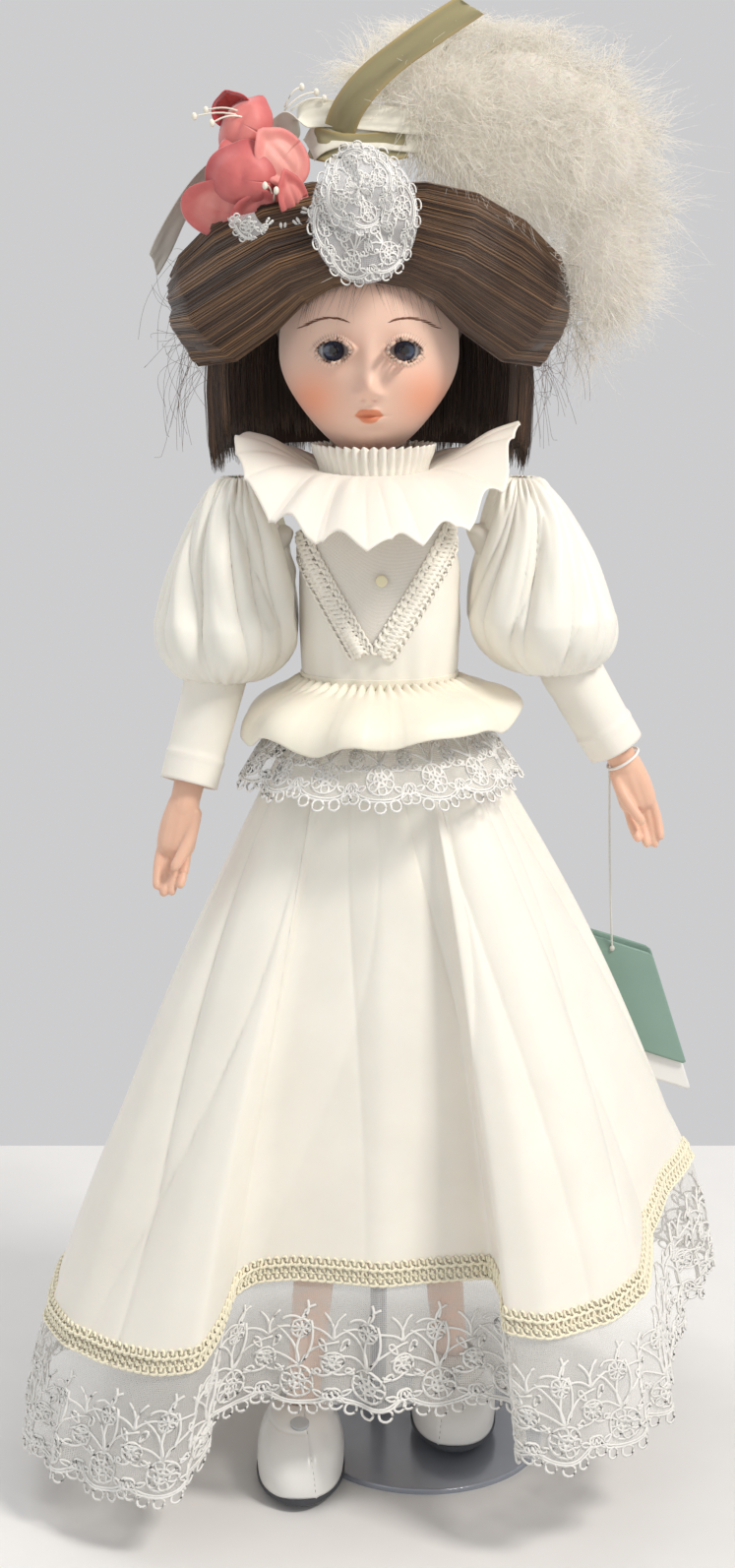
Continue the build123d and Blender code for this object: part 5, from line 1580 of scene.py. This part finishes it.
# each finger: sideways, forward and down for its four points; then its radii
fingerTable = [((4.2, 0.0, 13), (4.8, -0.6, 19), (4.4, -2.2, 24), (3.6, -4.4, 28), (1.9, 1.7, 1.35)),
               ((1.8, 0.3, 13), (2.1, -0.2, 19), (1.8, -1.6, 25), (1.0, -4.0, 30), (2.0, 1.8, 1.4)),
               ((-0.8, 0.3, 13), (-0.9, -0.2, 19), (-1.2, -1.8, 24.5), (-1.6, -4.4, 29), (2.0, 1.8, 1.4)),
               ((-3.4, 0.0, 13), (-4.0, -0.8, 18), (-4.4, -3.0, 22.5), (-4.0, -5.4, 26), (1.9, 1.7, 1.35)),
               ((-4.2, -1.2, 3), (-4.6, -3.4, 9), (-3.0, -5.6, 14.5), (-1.2, -7.2, 20), (2.4, 2.1, 1.5))]
for side, word in ((-1, "right"), (1, "left")):
    elbow = np.array(armLines[side]["elbow"], float)
    wrist = np.array(armLines[side]["wrist"], float)
    ahead = np.array(armLines[side]["hand"], float)
    ahead /= np.linalg.norm(ahead)
    deep = np.array([0, 1.0, 0])
    wide = np.cross(deep, ahead) * -side
    wide /= np.linalg.norm(wide)
    if wide[0] * side < 0:
        wide = -wide

    def place(point):
        return wrist + wide * point[0] + deep * point[1] + ahead * point[2]

    forearm = [elbow * 0.8 + wrist * 0.2, (elbow + wrist) / 2, wrist - (wrist - elbow) * 0.1, wrist + ahead * 2]
    parts = [capsule("forearm", forearm, (6.3, 6.0, 5.0, 4.7))]
    for offset, radii in ((-1.9, (4.0, 4.3, 4.0)), (0.2, (4.3, 4.6, 4.2)), (2.2, (4.0, 4.3, 3.9))):
        palm = ((offset * 0.5, 0, 0), (offset, 0.1, 6), (offset * 1.15, 0.1, 11), (offset * 1.2, -0.3, 14.5))
        parts.append(capsule("palm", [place(point) for point in palm], radii))
    for finger in fingerTable:
        parts.append(capsule("finger", [place(point) for point in finger[:4]], finger[4]))
    hand = joinPieces(f"bisqueHand_{word}", parts)
    blend = hand.modifiers.new("blend", "REMESH")
    blend.mode = "VOXEL"
    blend.voxel_size = handCut["blend"] * mm
    blend.use_smooth_shade = True
    soften = hand.modifiers.new("soften", "SMOOTH")
    soften.factor = 0.5
    soften.iterations = handCut["soften"]
    finishPiece(hand, f"arm_{word}", limb, [f"forearm_{word}"])
print("hands ready")

shoeCut = {"centres": {"right": (-27.0, -30.0, 2.6), "left": (26.5, 0.0, 6.0)}, "half": (14.2, 24.6), "sole": 2.4,
           "rise": 20.0, "ankleBack": 9.0, "ankle": 7.6, "stitches": 15, "stitchRadius": 0.22}
leather = grainedMaterial("shoeLeather", (0.84, 0.83, 0.80), 0.28, 1500, 0.10, 0.05, Coat_Weight=0.35,
                          Coat_Roughness=0.2)
stitchInk = grainedMaterial("seamThread", (0.16, 0.15, 0.15), 0.7, 3000, 0.05, 0.2)


def shoePoints(word, turn, v, out=0.0):
    # from the sole's outline up over the foot to the ankle's opening, as a quarter of an ellipse
    cx, cy, floor = shoeCut["centres"][word]
    half, rise = shoeCut["half"], shoeCut["rise"]
    side = 1 if word == "right" else -1
    sole = stacked(half[0] * np.sign(np.sin(turn)) * np.abs(np.sin(turn)) ** 0.85,
                   -half[1] * np.sign(np.cos(turn)) * np.abs(np.cos(turn)) ** 0.9, 0)
    ankle = stacked(shoeCut["ankle"] * np.sin(turn), shoeCut["ankleBack"] - shoeCut["ankle"] * np.cos(turn), 0)
    w = (1 - np.cos(v * math.pi / 2)) ** 0.85
    flat = sole * (1 - w)[..., None] + ankle * w[..., None]
    bulge = 0.9 * np.sin(math.pi * np.clip(v * 1.8, 0, 1))
    size = np.linalg.norm(flat[..., :2], axis=-1) + 1e-6
    flat = flat * (1 + (bulge + out) / size)[..., None]
    z = floor + shoeCut["sole"] + 0.1 + rise * np.sin(v * math.pi / 2) ** 0.9 + out * 0.8 * v
    seam = np.exp(-((turn - side * (0.34 - 0.22 * v)) / 0.035) ** 2) * (v < 0.9)
    vamp = np.exp(-((v - 0.62) / 0.02) ** 2) * ((turn * side > -1.2) & (turn * side < 0.25))
    z = z - 0.45 * (seam + vamp)
    crease = wobble(turn * 3, v * 5, 17) * 0.3 * np.exp(-((v - 0.5) / 0.2) ** 2)
    return stacked(cx + flat[..., 0], cy + flat[..., 1], z + crease)


for word, side in (("right", 1), ("left", -1)):
    turn, v = around(220, 56)
    shoe = surfacePiece(f"shoeLeather_{word}", shoePoints(word, turn, v), True, (90, 40), thick=0.8)
    finishPiece(shoe, f"leg_{word}", leather, [f"shoe_upper_{word}"])
    along = np.linspace(0.06, 0.86, shoeCut["stitches"])[:, None] + np.linspace(0, 0.026, 4)[None, :]
    lean = side * (0.34 - 0.22 * along)
    stitches = tubePiece(f"seamStitches_{word}", shoePoints(word, lean, along, 0.25), shoeCut["stitchRadius"], 5)
    finishPiece(stitches, f"leg_{word}", stitchInk)

stuffed = wovenMaterial("stuffedCotton", (0.82, 0.79, 0.72), 0.85, 110, 0.5, 0.08)


def stuffedPiece(name, sections, body, node, seed):
    # a stuffed cloth limb: ovals down a line, with soft dents and a sewn seam down its back
    rows = np.array(sections, float)
    turn, v = around(96, 60)
    place = [np.interp(v, np.linspace(0, 1, len(rows)), rows[:, k]) for k in range(5)]
    dents = wobble(turn, v * 6, seed, 5) * 0.35
    dents = dents * np.cos(turn / 2) ** 2 + wobble(v * 6, v, seed + 1, 3) * 0.2
    seam = -0.5 * np.exp(-((np.abs(turn) - math.pi) / 0.05) ** 2)
    end = np.sin(math.pi * np.clip(np.minimum(v, 1 - v) * 6, 0, 0.5)) ** 0.5
    x = place[0] + (place[3] - 0.3 + dents + seam) * np.sin(turn) * end
    y = place[1] - (place[4] - 0.3 + dents + seam) * np.cos(turn) * end
    obj = surfacePiece(name, stacked(x, y, place[2]), True, (60, 60))
    finishPiece(obj, body, stuffed, [node])


def boxOf(node):
    low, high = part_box(node)
    return np.array(low) / mm, np.array(high) / mm


# half widths across and half depth of the stuffed limbs, at most; armLean is the half width a straight arm has
limbCut = {"leg": 9, "arm": 7.2, "deep": 9, "armLean": 7.3}
for word in ("right", "left"):
    for part, body in (("upper_leg", "leg"), ("upper_arm", "arm")):
        low, high = boxOf(f"{part}_{word}")
        middle, half = (low + high) / 2, (high - low) / 2
        lean = 0 if body == "leg" else (half[0] - limbCut["armLean"]) * (1 if word == "left" else -1)
        half[0] = min(half[0], limbCut["leg"]) if body == "leg" else limbCut["arm"]
        half[1] = min(half[1], limbCut["deep"])
        stuffedPiece(f"stuffed_{part}_{word}", [(middle[0] - lean, middle[1], high[2], half[0], half[1]),
                                                (middle[0], middle[1], middle[2], half[0], half[1]),
                                                (middle[0] + lean, middle[1], low[2], half[0] * 0.9, half[1] * 0.9)],
                     f"{body}_{word}", f"{part}_{word}", 400)
stuffedPiece("stuffed_torso", [(0, 0, 300, 19.5, 14), (0, 0, 290, 20, 14.5), (0, 0, 268, 18.5, 13.5),
                               (0, 0, 248, 19.5, 14.5), (0, 0, 222, 21.5, 15), (0, 0, 206, 17, 11)],
             "doll", "torso", 410)
print("shoes and limbs ready")

# the hard parts keep their solids and only take a material
enamel = grainedMaterial("standEnamel", (0.36, 0.39, 0.45), 0.22, 700, 0.03, 0.10, Coat_Weight=0.5,
                         Coat_Roughness=0.12, Metallic=0.35)
steel = grainedMaterial("steel", (0.62, 0.63, 0.65), 0.3, 1200, 0.05, 0.08, Metallic=1.0)
soleRubber = grainedMaterial("shoeSole", (0.06, 0.065, 0.075), 0.55, 1600, 0.15, 0.2)
clearButton = grainedMaterial("clearButton", (0.75, 0.78, 0.80), 0.12, 900, 0.02, 0.04, Transmission_Weight=0.45,
                              Coat_Weight=0.6)
yellowButton = grainedMaterial("creamButton", (0.80, 0.74, 0.50), 0.25, 1200, 0.03, 0.06, Coat_Weight=0.5)
pateCard = grainedMaterial("pateCard", (0.45, 0.38, 0.28), 0.9, 900, 0.2, 0.15)
elastic = wovenMaterial("elastic", (0.86, 0.85, 0.82), 0.6, 300, 0.3, 0.05)
carried = {"stand_base": enamel, "stand_post": enamel, "stand_rod": steel, "waist_clip": steel,
           "shoulder_plate": bisque, "pate": pateCard, "hat_base": buckram, "wrist_loop": elastic,
           "yoke_button": yellowButton, "shoe_sole_right": soleRubber, "shoe_sole_left": soleRubber,
           "shoe_button_right": clearButton, "shoe_button_left": clearButton, "lower_leg_right": limb,
           "lower_leg_left": limb}
for node, material in carried.items():
    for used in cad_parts[node].material_slots:
        used.material = material

# the thread's points in metres; the card's hole, size, the hole's place in it and its corners in mm
threadRoute = [(0.0784, 0.0104, 0.2400), (0.0793, 0.0146, 0.2175), (0.0806, 0.0196, 0.1955), (0.0824, 0.0256, 0.1730)]
tagCut = {"hole": (82.4, 26.6, 173.0), "tilt": 18.0, "size": (24.0, 43.0), "inset": (8.0, 3.0), "corner": 1.6,
          "thick": 0.3, "thread": 0.35}
threadCurve = bpy.data.curves.new("tagThread", "CURVE")
threadCurve.dimensions = "3D"
threadCurve.resolution_u = 24
threadCurve.bevel_depth = tagCut["thread"]
threadCurve.bevel_resolution = 3
threadCurve.use_fill_caps = True
spline = threadCurve.splines.new("NURBS")
spline.points.add(len(threadRoute) - 1)
for point, spot in zip(spline.points, threadRoute):
    point.co = (*spot, 1)
    point.radius = mm          # the bevel above is in millimetres
spline.order_u = 3
spline.use_endpoint_u = True
thread = bpy.data.objects.new("tagThread", threadCurve)
bpy.context.collection.objects.link(thread)
threadMaterial = grainedMaterial("tagThread", (0.70, 0.70, 0.64), 0.7, 1800, 0.3, 0.2)
finishPiece(thread, "tag", threadMaterial, ["tag_string"])

sage = grainedMaterial("sageCard", (0.235, 0.36, 0.30), 0.62, 900, 0.06, 0.10)
page = grainedMaterial("pageCard", (0.82, 0.82, 0.80), 0.7, 900, 0.05, 0.05)


def leafPiece(name, shift, fan, grow, material, replaced=()):
    # one leaf of the folded card, hanging from the thread's hole; fan opens it a little away from the others
    tilt = math.radians(tagCut["tilt"])
    across = np.array([math.cos(tilt), 0, -math.sin(tilt)])
    fall = np.array([math.sin(tilt), 0, -math.cos(tilt)])
    u, v = grid(30, 48)
    wide, tall = tagCut["size"][0] + grow[0], tagCut["size"][1] + grow[1]
    corner = tagCut["corner"]
    edge = np.minimum(v, 1 - v) * tall
    pull = np.where(edge < corner, corner - np.sqrt(np.maximum(corner ** 2 - (corner - edge) ** 2, 0)), 0)
    x = -tagCut["inset"][0] + pull + u * (wide - 2 * pull)
    d = -tagCut["inset"][1] + v * tall + grow[2]
    curve = 0.7 * np.sin(u * math.pi) * fan
    points = (np.array(tagCut["hole"]) + across * x[..., None] + fall * d[..., None]
              + np.array([0, 1.0, 0]) * (shift + fan * (d * 0.045 + x * 0.05) + curve)[..., None])
    leaf = surfacePiece(name, points, False, (24, 43), thick=tagCut["thick"])
    finishPiece(leaf, "tag", material, replaced)
    return leaf


leaves = [leafPiece("tagFront", -0.55, -0.35, (0, 0, 0), sage, ["hang_tag"]),
          leafPiece("tagPage", 0.0, 0.0, (-1.5, 10.5, 0.8), page),
          leafPiece("tagBack", 0.55, 0.9, (0, -1, -2.2), sage)]
knot = beadPiece("tagKnot", np.array(tagCut["hole"]) + np.array([0, -1.0, 0]), 1.1, 0.95, 12)
finishPiece(knot, "tag", threadMaterial)

floorPaint = grainedMaterial("floorPaint", stage["floorColour"][:3], 0.5, 40, 0.02, 0.03)
sides = np.linspace(-stage["floorHalf"], stage["floorHalf"], 13)
depths = np.linspace(-stage["floorHalf"], stage["floorBehind"], 13)
floor = surfacePiece("studioFloor", stacked(sides[:, None], depths[None, :], np.zeros((13, 13))), False, (1800, 1181))
floor.data.materials.append(floorPaint)
print("tag and floor ready")
